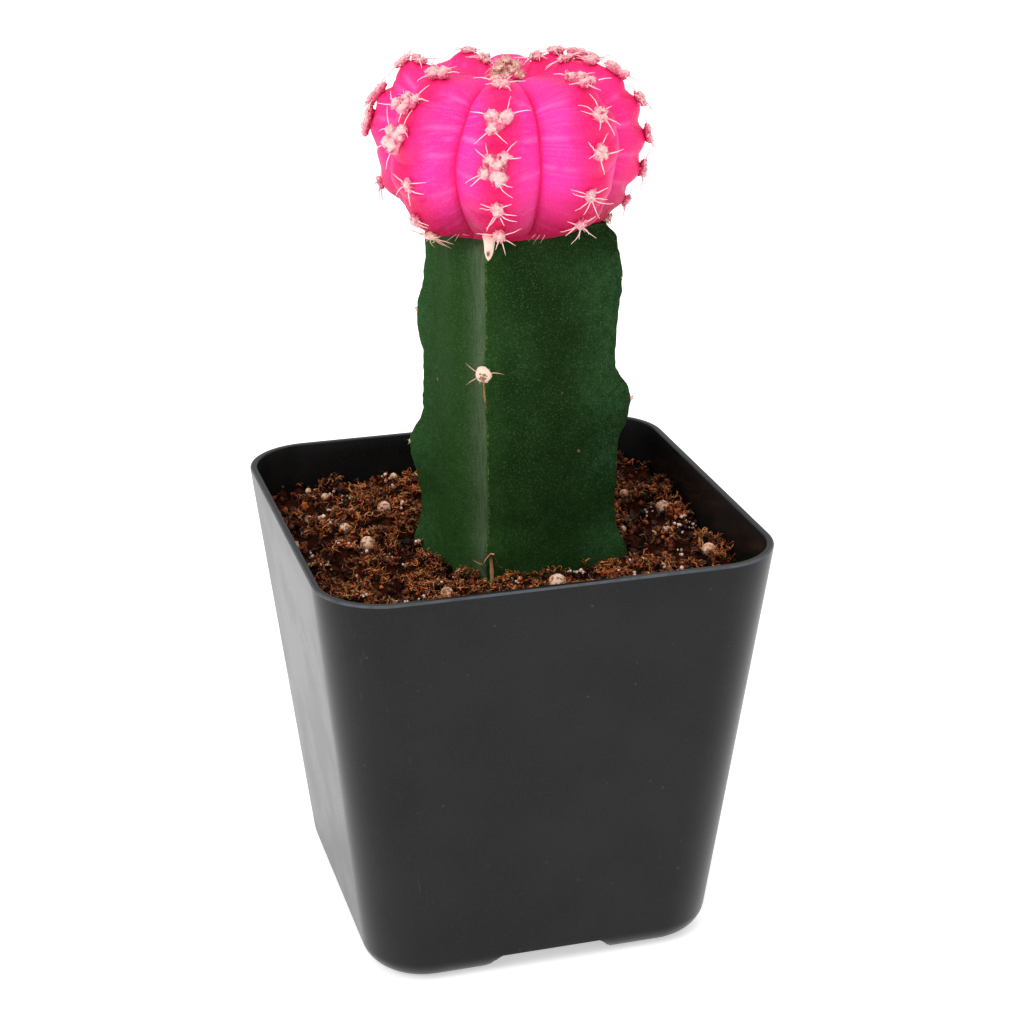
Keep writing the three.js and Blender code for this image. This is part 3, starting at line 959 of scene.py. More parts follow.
@dataclass(frozen=True)
class PinkSkin(Finish):
    """Satin pink skin: crimson on the crests, magenta on the flanks, with pale streaks."""

    crimson: Colour = screen(243, 28, 108)
    magenta: Colour = screen(255, 52, 166)
    streak: Colour = screen(255, 132, 208)
    # Darker crimson of the painted shade in the furrows.
    furrow: Colour = screen(232, 22, 96)
    shade: Colour = screen(160, 6, 44)
    relief: float = 0.07
    gloss: float = 0.16

    def paint(self, sheet: NodeSheet) -> None:
        """Places the material's nodes on its sheet.

        Args:
            sheet: The material's sheet.
        """
        place = sheet.position()
        across = sheet.value("across")
        wander = place.noise(0.22, 3)
        flank = self.flank(sheet, place, across, wander)
        comb = self.comb(sheet, place, across)
        brushed = place.stretched(1.0, 1.0, 0.6).noise(2.6, 4, 0.7).span(0.56, 0.72)
        crease = sheet.value("crease") * wander.span(0.3, 0.6)
        colour = sheet.blend(self.crimson, self.magenta, flank)
        for share in (comb.span(0.48, 0.74) * flank * 0.4, brushed * flank * 0.26, crease * 0.28):
            colour = colour.under(self.streak, share)
        # Painted shade: darker crimson along the bottom of each furrow.
        colour = colour.under(self.furrow, across.span(0.955, 0.99) * 0.8)
        colour = colour.under(self.shade, sheet.value("low") * 0.9)
        colour = colour.under(self.streak, place.specks(2.6, 0.22, 0.5) * 0.16)
        dust = place.noise(3.4, 3, 0.7).span(0.5, 0.75, 0.0, 0.12)
        colour = colour.under(self.streak, dust)
        height = place.grain(2.2, 0.5) + comb * 1.2
        roughness = comb.span(0.3, 0.7, 0.42, 0.54)
        sheet.surface(colour, roughness, height, self.relief, {"Specular IOR Level": self.gloss})

    def flank(self, sheet: NodeSheet, place: Wire, across: Wire, wander: Wire) -> Wire:
        """How magenta the skin is: not on crests, round areoles or on ripe ribs.

        Args:
            sheet: The material's sheet.
            place: Place on the globe.
            across: 0 on the crest and 1 in the furrow.
            wander: Slow cloudy noise.

        Returns:
            A share from 0 to 1.
        """
        patch = place.noise(0.07, 2).span(0.3, 0.6, 0.5, 1.0)
        flank = (across + wander * 0.7).span(0.36, 0.98) * patch
        return flank * (1.0 - sheet.value("areole_near") * 0.8) * (1.0 - sheet.value("ripe"))

    def comb(self, sheet: NodeSheet, place: Wire, across: Wire) -> Wire:
        """Streaks that slant up across the flanks.

        Args:
            sheet: The material's sheet.
            place: Place on the globe.
            across: 0 on the crest and 1 in the furrow.

        Returns:
            Strength of the streaks, around one half.
        """
        upwards = sheet.value("rise") + across * -1.6
        slanted = sheet.wire("ShaderNodeCombineXYZ", {0: across * 0.9, 1: upwards})
        drift = {0: slanted, 1: place.stretched(0.1, 0.1, 0.1)}
        shifted = sheet.wire("ShaderNodeVectorMath", drift, operation="ADD")
        return shifted.noise(1.9, 5, 0.66)


@dataclass(frozen=True)
class AreoleWool(Finish):
    """Cream-pink felt of the areoles, with painted light: cream on top of each lobe, deep pink
    painted shade underneath.
    """

    # Deep pink of the painted shade.
    shade_pink: Colour = screen(216, 64, 106)
    pink: Colour = screen(246, 146, 172)
    cream: Colour = screen(255, 216, 208)
    tan: Colour = screen(255, 224, 198)
    pit: Colour = screen(170, 36, 66)
    brown: Colour = screen(112, 62, 36)
    relief: float = 0.24
    gloss: float = 0.12

    def paint(self, sheet: NodeSheet) -> None:
        """Places the material's nodes on its sheet.

        Args:
            sheet: The material's sheet.
        """
        place = sheet.position()
        clump = place.noise(2.4, 4, 0.65)
        # Painted light: cream on the top of each lobe, and painted shade in deep pink underneath and
        # on the low cushion, broken by noise.
        lifted = sheet.value("crown") * sheet.value("pile") + clump * 0.8
        colour = sheet.blend(self.shade_pink, self.pink, lifted.span(0.55, 0.95))
        colour = colour.under(self.cream, lifted.span(1.0, 1.4))
        colour = colour.under(self.pink, place.noise(4.6, 3, 0.7).span(0.36, 0.54, 0.5, 0.0))
        old = sheet.value("tan")
        colour = colour.under(self.tan, old * 0.95)
        pits = place.specks(1.7, 0.3, 0.5)
        hole = sheet.blend(self.pit, self.brown, old.span(0.1, 0.4))
        colour = colour.under(hole, pits * old.span(0.0, 1.0, 0.6, 0.12))
        height = place.noise(3.0, 4, 0.7) - pits * 0.5
        roughness = clump.span(0.3, 0.7, 0.75, 0.9)
        sheet.surface(colour, roughness, height, self.relief, {"Specular IOR Level": self.gloss})


@dataclass(frozen=True)
class SpineHorn(Finish):
    """Pale pink horn of the spines, tan on the old ones."""

    root: Colour = screen(244, 160, 176)
    pale: Colour = screen(255, 222, 218)
    tan: Colour = screen(212, 162, 112)
    tip: Colour = screen(126, 76, 50)
    dry: Colour = screen(30, 17, 12)
    relief: float = 0.02

    def paint(self, sheet: NodeSheet) -> None:
        """Places the material's nodes on its sheet.

        Args:
            sheet: The material's sheet.
        """
        reach, tan = sheet.value("reach"), sheet.value("tan")
        streak = sheet.position().noise(3.0, 3)
        colour = sheet.blend(self.root, self.pale, reach.span(0.02, 0.35))
        colour = colour.under(self.tan, tan).under(self.tip, reach.span(0.6, 1.0) * tan)
        young = sheet.maths("SUBTRACT", 1.0, tan, clamp=True)
        colour = colour.under(self.root, streak.span(0.4, 0.7, 0.25, 0.0) * young)
        dry = sheet.value("dark") * streak.span(0.3, 0.6, 0.75, 1.0)
        colour = colour.under(self.dry, dry)
        sheet.surface(colour, streak.span(0.3, 0.7, 0.35, 0.5), streak, self.relief)


@dataclass(frozen=True)
class BudSkin(Finish):
    """Pale skin of a small bud, pink at its root with a brown scar near its tip."""

    pale: Colour = screen(246, 216, 198)
    pink: Colour = screen(236, 150, 156)
    scar: Colour = screen(92, 48, 34)
    relief: float = 0.1

    def paint(self, sheet: NodeSheet) -> None:
        """Places the material's nodes on its sheet.

        Args:
            sheet: The material's sheet.
        """
        streak = sheet.position().stretched(3.0, 3.0, 0.7).noise(1.4, 4, 0.6)
        root = sheet.value("reach").span(0.05, 0.4, 0.7, 0.0)
        colour = sheet.blend(self.pale, self.pink, root)
        colour = colour.under(self.pink, streak.span(0.45, 0.7, 0.0, 0.35))
        colour = colour.under(self.scar, sheet.value("scar"))
        sheet.surface(colour, streak.span(0.3, 0.7, 0.5, 0.65), streak, self.relief)


@dataclass(frozen=True)
class StudioFloor(Finish):
    """Plain pale light table."""

    pale: Colour = (0.9, 0.9, 0.9)
    glow: float = 0.5

    def paint(self, sheet: NodeSheet) -> None:
        """Places the material's nodes on its sheet."""
        light = {"Emission Color": (1.0, 1.0, 1.0), "Emission Strength": self.glow}
        sheet.surface(self.pale, 0.9, constants={"Specular IOR Level": 0.1, **light})


# Pot


@dataclass
class NurseryPot:
    """Thin moulded pot, wider at the rim, on four corner feet."""

    height: float = 67.5
    top_width: float = 70
    base_width: float = 55
    top_corner: float = 10.5
    base_corner: float = 9.5
    base_rounding: float = 4
    wall: float = 1.1
    rim_edge: float = 0.22
    rim_flat_inset: float = 0.1
    worn_lip: float = 0.38
    # Strength of the painted highlight on the flat top of the rim.
    flat_rim_sheen: float = 0.22
    channel_height: float = 3.2
    channel_top: float = 7.8
    channel_mouth: float = 11
    channel_ease: float = 0.6
    hole_radius: float = 4
    hole_spacing: float = 15
    hole_margin: float = 0.3
    hole_sides: int = 32
    hole_rim: float = 0.02
    edge_margin: float = 3
    corner_steps: int = 20
    foot_steps: int = 13
    wall_steps: int = 14
    lip_steps: int = 6
    sharp: float = 38
    side_places: tuple[float, ...] = (
        1.5, 4, 6, 7, 7.8, 8.2, 8.7, 9.4, 10.1, 10.6, 11.1, 12.2,
    )
    side_shares: tuple[float, ...] = (0.35, 0.7)
    floor_lines: tuple[float, ...] = (
        0, 2.5, 5, 7.8, 8.3, 8.9, 9.4, 10, 10.6, 11.1, 12.1, 14, 17, 20,
    )
    inner_levels: tuple[float, ...] = (62, 50, 35, 20, 10, 7, 5.4, 4.3)
    finish: Finish = field(default_factory=MouldedPlastic)

    def ring(self, z: float, inset: float) -> np.ndarray:
        """Points round the pot at a height.

        Args:
            z: The height.
            inset: How far the points are moved in from the outside.

        Returns:
            The points, closer together where the channels cross the sides.
        """
        share = min(max(z / (self.height - self.wall / 2), 0.0), 1.0)
        half = lerp(self.base_width, self.top_width, share) / 2 - inset
        corner = lerp(self.base_corner, self.top_corner, share) - inset
        reach = half - corner
        angle = np.linspace(0, math.pi / 2, self.corner_steps + 1)
        arc = np.stack([reach + corner * np.cos(angle), reach + corner * np.sin(angle)], -1)
        outer = [lerp(self.side_places[-1], reach, part) for part in self.side_shares]
        places = np.array([*self.side_places, *outer])
        side = np.concatenate([places[::-1], -places])
        quarter = np.vstack([arc, np.stack([side, np.full(len(side), half)], -1)])
        x, y = quarter.T
        quarters = [np.stack(pair, -1) for pair in ((x, y), (-y, x), (-x, -y), (y, -x))]
        flat = np.vstack(quarters)
        return np.column_stack([flat, np.full(len(flat), z)])

    def over_channels(self, points: np.ndarray, margin: float = 0.0) -> np.ndarray:
        """Lifts low points to the roofs of the crossing channels under the pot.

        Args:
            points: Points of one of the pot's faces.
            margin: How far that face lies above the channels.

        Returns:
            The lifted points.
        """
        lifted = points.copy()
        nearest = np.minimum(np.abs(points[:, 0]), np.abs(points[:, 1])) - margin
        width = self.channel_mouth - self.channel_top
        share = np.clip((nearest - self.channel_top) / width, 0, 1)
        fall = lerp(share, smoothstep(share, 0, 1), self.channel_ease)
        roof = (self.channel_height + margin) * (1 - fall)
        lifted[:, 2] = np.maximum(points[:, 2], roof)
        return lifted

    def drain_holes(self) -> tuple[np.ndarray, np.ndarray]:
        """Middles of the drain holes, and the points round one at the origin.

        Returns:
            The middles and the points, both flat.
        """
        angle = np.linspace(0, 2 * math.pi, self.hole_sides, endpoint=False)
        circle = np.stack([np.cos(angle), np.sin(angle)], -1) * self.hole_radius
        centres = np.array([[0, 0], [1, 0], [-1, 0], [0, 1], [0, -1]]) * self.hole_spacing
        return centres, circle

    def add_floor_face(self, batch: MeshBatch, ring: np.ndarray, upwards: bool) -> None:
        """Adds the floor's upper or lower face, with its drain holes.

        Args:
            batch: The pot's surfaces.
            ring: The face's outline.
            upwards: Whether it is the upper face.
        """
        centres, circle = self.drain_holes()
        outline = ring[:, :2]
        loops = [outline, *[circle + centre for centre in centres]]
        lines = np.array(self.floor_lines)
        lines = np.unique(np.concatenate([-lines, lines]))
        cells = np.stack(np.meshgrid(lines, lines), -1).reshape(-1, 2)
        inside = np.abs(cells).max(axis=1) < float(np.abs(outline).max()) - self.edge_margin
        away = np.linalg.norm(cells[:, None] - centres, axis=-1).min(axis=1)
        cells = cells[inside & (away > self.hole_radius + self.hole_margin)]
        edges, start = [], 0
        for loop in loops:
            index = np.arange(len(loop))
            edges += [(int(a) + start, int(b) + start) for a, b in zip(index, np.roll(index, -1))]
            start += len(loop)
        flat = [Vector(point) for point in np.vstack([*loops, cells]).tolist()]
        points, _, faces, *_ = delaunay_2d_cdt(flat, edges, [], 0, 1e-5)
        points = np.array([point[:] for point in points])
        kept = []
        for face in faces:
            middle = points[face].mean(axis=0)
            gap = np.linalg.norm(centres - middle, axis=1).min()
            in_hole = gap < self.hole_radius - self.hole_rim
            if self.holds(outline, middle) and not in_hole:
                kept.append(face if upwards else face[::-1])
        placed = np.column_stack([points, np.full(len(points), ring[0, 2])])
        placed = self.over_channels(placed, self.wall if upwards else 0.0)
        batch.add(placed, np.array(kept))

    def add_hole_walls(self, batch: MeshBatch) -> None:
        """Adds the walls of the drain holes.

        Args:
            batch: The pot's surfaces.
        """
        centres, circle = self.drain_holes()
        for centre in centres:
            ground = np.column_stack([circle + centre, np.zeros(len(circle))])
            high = self.over_channels(ground, self.wall)
            low = self.over_channels(ground)
            batch.add(np.vstack([high, low]), grid_faces(2, len(circle), wrap=True))

    @staticmethod
    def holds(loop: np.ndarray, point: np.ndarray) -> bool:
        """Whether a flat loop goes round a point.

        Args:
            loop: Points of the loop.
            point: The point.

        Returns:
            Yes or no.
        """
        after = np.roll(loop, -1, axis=0)
        crosses = (loop[:, 1] > point[1]) != (after[:, 1] > point[1])
        rise = np.where(after[:, 1] == loop[:, 1], 1.0, after[:, 1] - loop[:, 1])
        x = loop[:, 0] + (point[1] - loop[:, 1]) * (after[:, 0] - loop[:, 0]) / rise
        return bool(np.count_nonzero(crosses & (point[0] < x)) % 2)

    @staticmethod
    def rounding(radius: float, turns: np.ndarray, start: float) -> list[Range]:
        """Path round the lower edge of the pot or of its filling.

        Args:
            radius: Radius of the edge.
            turns: Turns along it, in radians.
            start: Height and inset of its lowest and outermost places.

        Returns:
            Height and inset of each turn.
        """
        return [
            (start + radius * (1 - math.cos(turn)), start + radius * (1 - math.sin(turn)))
            for turn in turns
        ]

    def build(self) -> bpy.types.Object:
        """Makes the pot, in place of its CAD node.

        Returns:
            The piece.
        """
        notch = math.acos(1 - self.channel_height / self.base_rounding)
        by_notch = notch * np.array([0.95, 1, 1.05])
        turns = sorted({*np.linspace(0, math.pi / 2, self.foot_steps), *by_notch})
        outside = self.rounding(self.base_rounding, turns, 0.0)
        top = self.height - self.wall / 2
        levels = np.linspace(self.base_rounding, top, self.wall_steps)[1:-1]
        walls = [(z, 0.0) for z in (*levels, self.height - self.worn_lip)]
        edge = self.rim_edge
        outer_edge = [
            (self.height - edge * (1 - math.sin(turn)), edge * (1 - math.cos(turn)))
            for turn in np.linspace(0, math.pi / 2, self.lip_steps)
        ]
        inner_edge = [(z, self.wall - inset) for z, inset in reversed(outer_edge)]
        flat = edge + self.rim_flat_inset
        rim = [*outer_edge, (self.height, flat), (self.height, self.wall - flat), *inner_edge]
        inner_walls = [(z, self.wall) for z in self.inner_levels]
        inner_turns = np.linspace(math.pi / 2, 0, 9)
        inside = self.rounding(self.base_rounding - self.wall, inner_turns, self.wall)
        rings = np.array([
            *[self.over_channels(self.ring(z, inset)) for z, inset in outside],
            *[self.ring(z, inset) for z, inset in (*walls, *rim, *inner_walls)],
            *[self.over_channels(self.ring(z, inset), self.wall) for z, inset in inside],
        ])
        rows, columns = rings.shape[:2]
        lip_row = len(outside) + len(walls)
        # Painted highlight on the rim, read by the finish: full on the outer rounding, weaker on the
        # flat top.
        rim_sheen = np.zeros((rows, columns))
        rim_sheen[lip_row : lip_row + len(rim)] = self.flat_rim_sheen
        rim_sheen[lip_row : lip_row + len(outer_edge)] = 1.0
        batch = MeshBatch()
        batch.add(rings, grid_faces(rows, columns, wrap=True), rim_sheen=rim_sheen)
        self.add_floor_face(batch, rings[0], upwards=False)
        self.add_hole_walls(batch)
        self.add_floor_face(batch, rings[-1], upwards=True)
        return settle(batch, "pot_shell", "pot", self.finish, "pot", sharp=self.sharp, weld=True)


# Stem


@dataclass(frozen=True)
class Wing:
    """One wing of the stem: its turn, its reach at top and base, and its lobes.

    Each lobe is its height and how far it stands out.
    """

    turn: float
    top_reach: float
    base_reach: float
    lobes: tuple[Range, ...]


@dataclass
class Rootstock:
    """Three-winged green stem with areoles on the lobes of its wings."""

    x: float = 1.14
    y: float = -0.85
    foot_z: float = 40.5
    lowest_lobe_z: float = 57.5
    wings: tuple[Wing, ...] = (
        Wing(-124, 10.3, 9.9, ((91.3, 1.8), (61.9, 1.5))),
        Wing(-15, 16.2, 16.6, ((103.5, 0.7), (84.3, 2.4), (58.5, 1.9))),
        Wing(143, 13.3, 15.2, ((97.1, 1.2), (75.5, 2), (58.5, 1.2))),
    )
    valley_reach: tuple[float, ...] = (8.9, 9.6, 9.5)
    valley_shift: tuple[float, ...] = (-8, 0, 4)
    hollow: float = 0.45
    hollow_place: float = 0.4
    edge_width: float = 0.9
    edge_depth: float = 0.4
    shoulder: float = 1.6
    shoulder_height: float = 2.5
    lobe_above: float = 5.5
    lobe_below: float = 9
    bloom_height: float = 7
    # Width of the painted sheen beside the front edge.
    sheen_width: float = 2.7
    hidden_height: float = 3
    areole_depth: float = 0.15
    edge_steps: int = 10
    flank_steps: int = 40
    foot_rows: int = 8
    swells: NoiseLayers = ((0.16, 0.16, 3), (0.05, 0.6, 9))
    ragged_depth: float = 0.16
    ragged_width: float = 0.9
    ragged_pitch: Triple = (0.2, 0.2, 0.75)
    swell_fade: float = 1.5
    cork_width: float = 0.15
    bloom_reach: Range = (9.5, 14.5)
    # Painted light on the stem: lighter green below the foot heights and on its left side.
    painted_low_light: float = 0.25
    foot_heights: Range = (60, 76)
    painted_left_light: float = 0.42
    sharp: float = 70
    rows: int = 150
    finish: Finish = field(default_factory=WaxyGreen)

    def wing_reach(self, wing: Wing, z: float) -> float:
        """Distance of a wing's edge from the stem's axis at a height.

        Args:
            wing: The wing.
            z: The height.

        Returns:
            The distance.
        """
        level = max(z, self.lowest_lobe_z)
        share = (level - self.lowest_lobe_z) / (GRAFT_Z - self.lowest_lobe_z)
        reach = lerp(wing.base_reach, wing.top_reach, share)
        for lobe_z, lobe in wing.lobes:
            width = self.lobe_above if level > lobe_z else self.lobe_below
            reach += lobe * hump(level - lobe_z, width)
        return float(reach - self.shoulder * smoothstep(z, GRAFT_Z - self.shoulder_height, GRAFT_Z))

    def wing_edge(self, wing: Wing, z: float) -> np.ndarray:
        """The three points that round a wing's edge, anticlockwise.

        Args:
            wing: The wing.
            z: The height.

        Returns:
            The flat points, from the stem's axis.
        """
        tip = polar(wing.turn, self.wing_reach(wing, z))
        out = unit(tip)
        side = np.array([-out[1], out[0]]) * self.edge_width / 2
        back = tip - out * self.edge_depth
        return np.array([back - side, tip, back + side])

    def outline(self, z: float) -> tuple[np.ndarray, np.ndarray, np.ndarray]:
        """Outline across the wings at a height.

        Args:
            z: The height.

        Returns:
            Points round the stem, the distance of each from the nearest wing's tip, and
            the strength of the painted sheen beside the front edge.
        """
        points, edges, sheen_bands = [], [], []
        last = len(self.wings) - 1
        share = np.linspace(0, 1, self.flank_steps, endpoint=False)
        turn_share = np.linspace(0, 1, self.edge_steps, endpoint=False)
        for index, wing in enumerate(self.wings):
            following = self.wings[(index + 1) % len(self.wings)]
            edge, far_edge = self.wing_edge(wing, z), self.wing_edge(following, z)
            span = (following.turn - wing.turn + 360) % 360
            turn = wing.turn + span / 2 + self.valley_shift[index]
            valley = polar(turn, self.valley_reach[index])
            start, end = edge[2], far_edge[0]
            near, far = [lerp(origin, valley, self.hollow_place) for origin in (start, end)]
            near, far = near - unit(near) * self.hollow, far - unit(far) * self.hollow
            flank = SmoothLine(np.array([start, near, valley, far, end]), 16)
            round_edge = SmoothLine(edge, 12)
            points += [round_edge.at(turn_share), flank.at(share)]
            nearest = np.minimum(share, 1 - share) * flank.length + round_edge.length / 2
            edges += [np.abs(turn_share - 0.5) * round_edge.length, nearest]
            ahead = np.maximum((1 - share) * flank.length - 0.5, 0)
            # Painted sheen on one side of the front wing's rounded edge and on the flank that runs
            # up to it.
            near_side = (1 - smoothstep(turn_share, 0.15, 0.42)) * (index == 0)
            sheen_bands += [near_side, bell(ahead, self.sheen_width) * (index == last)]
        flat = np.vstack(points) + [self.x, self.y]
        return flat, np.concatenate(edges), np.concatenate(sheen_bands)

    def lobe_bloom(self, z: float) -> float:
        """How much pale bloom the wings carry at a height."""
        lobes = [lobe_z for wing in self.wings for lobe_z, _ in wing.lobes]
        return float(max(hump(z - lobe_z, self.bloom_height) for lobe_z in lobes))

    def ring(self, z: float) -> tuple[np.ndarray, dict[str, np.ndarray]]:
        """Points round the stem at a height.

        Args:
            z: The height.

        Returns:
            The points, and the values that its finish reads for each.
        """
        flat, edge, band = self.outline(z)
        centre = np.array([self.x, self.y])
        arms = flat - centre
        reach = np.linalg.norm(arms, axis=1)
        place = np.column_stack([flat, np.full(len(flat), z)])
        notches = layered_noise(place * self.ragged_pitch, 15, 2)
        ragged = bell(edge, self.ragged_width) * self.ragged_depth * notches
        swell = (uneven(place, self.swells) + ragged) * smoothstep(GRAFT_Z - z, 0, self.swell_fade)
        flat = centre + arms * (1 + swell / reach)[:, None]
        front = self.wings[0]
        under_disc = front.lobes[0][0] - z
        worn = smoothstep(under_disc, 0.0, 0.8) * (1 - smoothstep(under_disc, 3.0, 5.6))
        aside, ahead = arms @ polar(front.turn + 90, 1.0), arms @ polar(front.turn, 1.0)
        in_front = (np.abs(aside) < 2) & (ahead > 0)
        # Painted light, held as foot: lighter green on the stem's left side and low down.
        leftwards = smoothstep(-arms @ PICTURE_RIGHT, -1.0, 3.0)
        low = 1 - smoothstep(z, *self.foot_heights)
        values = {
            "edge": bell(edge, self.cork_width),
            "worn": in_front * worn * bell(edge, 0.06 + 0.07 * worn),
            "band": band,
            "bloom": smoothstep(reach, *self.bloom_reach) * self.lobe_bloom(z),
            "foot": self.painted_low_light * low + self.painted_left_light * leftwards,
        }
        return np.column_stack([flat, np.full(len(flat), z)]), values

    def build(self) -> bpy.types.Object:
        """Makes the stem's body, in place of its CAD node.

        Returns:
            The piece.
        """
        heights = np.concatenate([
            np.linspace(self.foot_z, self.lowest_lobe_z, self.foot_rows, endpoint=False),
            np.linspace(self.lowest_lobe_z, GRAFT_Z, self.rows),
        ])
        rings, values = zip(*(self.ring(float(z)) for z in heights))
        joined = {name: np.concatenate([row[name] for row in values]) for name in values[0]}
        columns = len(rings[0])
        batch = MeshBatch()
        faces = grid_faces(len(heights), columns, wrap=True)
        batch.add(np.concatenate(rings), faces, **joined)
        for ring, upwards in ((rings[0], False), (rings[-1], True)):
            closed = np.vstack([ring, ring.mean(axis=0)])
            batch.add(closed, cap_faces(0, columns, columns, upwards))
        return settle(batch, "stem_body", "stock", self.finish, "stock", sharp=self.sharp, weld=True)

    def areole_places(self) -> list[tuple[np.ndarray, np.ndarray]]:
        """Middle and outward direction of each areole that shows above the soil.

        Returns:
            A pair for each, by wing and downwards.
        """
        found = []
        for wing in self.wings:
            for z, _ in wing.lobes:
                if z > self.lowest_lobe_z + self.hidden_height:
                    tip = polar(wing.turn, self.wing_reach(wing, z) - self.areole_depth)
                    point = np.array([tip[0] + self.x, tip[1] + self.y, z])
                    found.append((point, np.append(unit(tip), 0.0)))
        return found


# Soil


@dataclass(frozen=True)
class CurlSize:
    """Sizes of one kind of curled coir: least and most of each, the sweep in radians."""

    radius: Range
    sweep: Range
    thick: Range


@dataclass(frozen=True)
class CrumbSize:
    """One size of crumb: how many, how often their faces are split, least and most, sink."""

    count: int
    detail: int
    low: float
    high: float
    sink: float


@dataclass
class PottingSoil:
    """Fibrous brown mix with curled fibres, crumbs, pale prills and white grit.

    Each prill is its x, y, radius and height over the level of the soil. Each mound is
    its x, y, reach and rise.
    """

    wall_z: float = 60.9
    stem_z: float = 58.5
    dish: Range = (10, 30)
    inset: float = 1.4
    bed_levels: tuple[float, ...] = (4.7, 25, 45, 56, 59.5)
    bed_steps: int = 190
    bed_depth: float = 0.5
    under_stem_depth: float = 4
    prills: tuple[tuple[float, float, float, float], ...] = (
        (-20.4, 4.4, 1.2, 0.7), (-14.7, 17.9, 1.12, 0.7), (-22.8, 10.3, 0.95, 0.65),
        (3.6, -18.4, 1.32, 1.5), (29.2, -14.6, 1.15, 0.6), (28.6, 5, 1.1, 0.5),
        (-13.4, -18.1, 0.95, 0.8), (24.5, 12.5, 0.75, 0.5), (-27.5, 16.0, 0.6, 0.4),
        (14.5, 24.0, 0.9, 0.5), (6.0, 27.5, 0.8, 0.5), (24.0, -24.0, 0.75, 0.5),
        (-5.0, 22.0, 0.7, 0.6), (18.5, 19.0, 0.6, 0.4), (-25.1, 28.2, 0.5, 0.5),
        (-23.0, 24.7, 0.65, 0.5), (-10.1, 30.6, 0.7, 0.5), (20.4, 0.6, 0.55, 0.5),
    )
    mounds: tuple[tuple[float, float, float, float], ...] = (
        (-7.8, -11.2, 3.0, -1.6), (-3.5, -12.5, 2.6, 2.3), (4.5, -11.5, 2.2, 1.0),
        (18.0, -8.5, 2.8, -1.2),
    )
    clods: NoiseLayers = ((0.75, 0.24, 5), (0.8, 0.62, 12))
    clod_level: float = 0.3
    half_width: float = 34
    crumbs: tuple[CrumbSize, ...] = (
        CrumbSize(2600, 1, 0.18, 0.5, 0.2), CrumbSize(170, 3, 0.45, 0.85, 0.45),
    )
    fibres: int = 3100
    fibre_size: CurlSize = CurlSize((0.45, 1.0), (1.6, 4.2), (0.06, 0.12))
    flakes: int = 3500
    flake_size: CurlSize = CurlSize((0.22, 0.55), (1.4, 4.6), (0.08, 0.18))
    curl_steps: int = 8
    grit_groups: int = 85
    grit_per_group: int = 5
    grit_spread: float = 0.45
    seed: int = 31
    pot: NurseryPot = field(default_factory=NurseryPot)
    stem: Rootstock = field(default_factory=Rootstock)

    def height(self, x: np.ndarray, y: np.ndarray) -> np.ndarray:
        """Level of the soil, a little lower round the stem than at the wall."""
        away = np.hypot(x - self.stem.x, y - self.stem.y)
        return lerp(self.stem_z, self.wall_z, smoothstep(away, *self.dish))

    def relief(self, x: np.ndarray, y: np.ndarray) -> np.ndarray:
        """Clods and hollows over the level of the soil.

        Args:
            x: Places from left to right.
            y: Places from front to back.

        Returns:
            Height over the level at each place.
        """
        flat = np.stack([x, y, np.zeros_like(x)], axis=-1)
        level = uneven(flat, self.clods) - self.clod_level
        for middle_x, middle_y, reach, rise in self.mounds:
            level = level + rise * hump(np.hypot(x - middle_x, y - middle_y), reach)
        return level

    def clear_of_stem(self, x: np.ndarray, y: np.ndarray, margin: float) -> np.ndarray:
        """How far points lie outside the stem.

        Args:
            x: Their x.
            y: Their y.
            margin: Taken off each distance.

        Returns:
            The distances, which are below zero inside.
        """
        flat, _, _ = self.stem.outline(self.stem.lowest_lobe_z)
        arms = flat - [self.stem.x, self.stem.y]
        turns = np.mod(np.arctan2(arms[:, 1], arms[:, 0]), 2 * math.pi)
        order = np.argsort(turns)
        reach = np.hypot(arms[:, 0], arms[:, 1])[order]
        angle = np.mod(np.arctan2(y - self.stem.y, x - self.stem.x), 2 * math.pi)
        limit = np.interp(angle, turns[order], reach, period=2 * math.pi)
        return np.hypot(x - self.stem.x, y - self.stem.y) - limit - margin

    def inside_pot(self, x: np.ndarray, y: np.ndarray, margin: float) -> np.ndarray:
        """Whether points lie inside the pot's wall.

        Args:
            x: Their x.
            y: Their y.
            margin: Room kept to the wall.

        Returns:
            Yes or no for each.
        """
        share = self.wall_z / (self.pot.height - self.pot.wall / 2)
        half = lerp(self.pot.base_width, self.pot.top_width, share) / 2 - self.inset - margin
        corner = lerp(self.pot.base_corner, self.pot.top_corner, share) - self.inset
        over = np.stack([np.abs(x), np.abs(y)], -1) - (half - corner)
        beyond = np.linalg.norm(np.maximum(over, 0), axis=-1)
        return (beyond < corner) & (np.maximum(np.abs(x), np.abs(y)) < half)

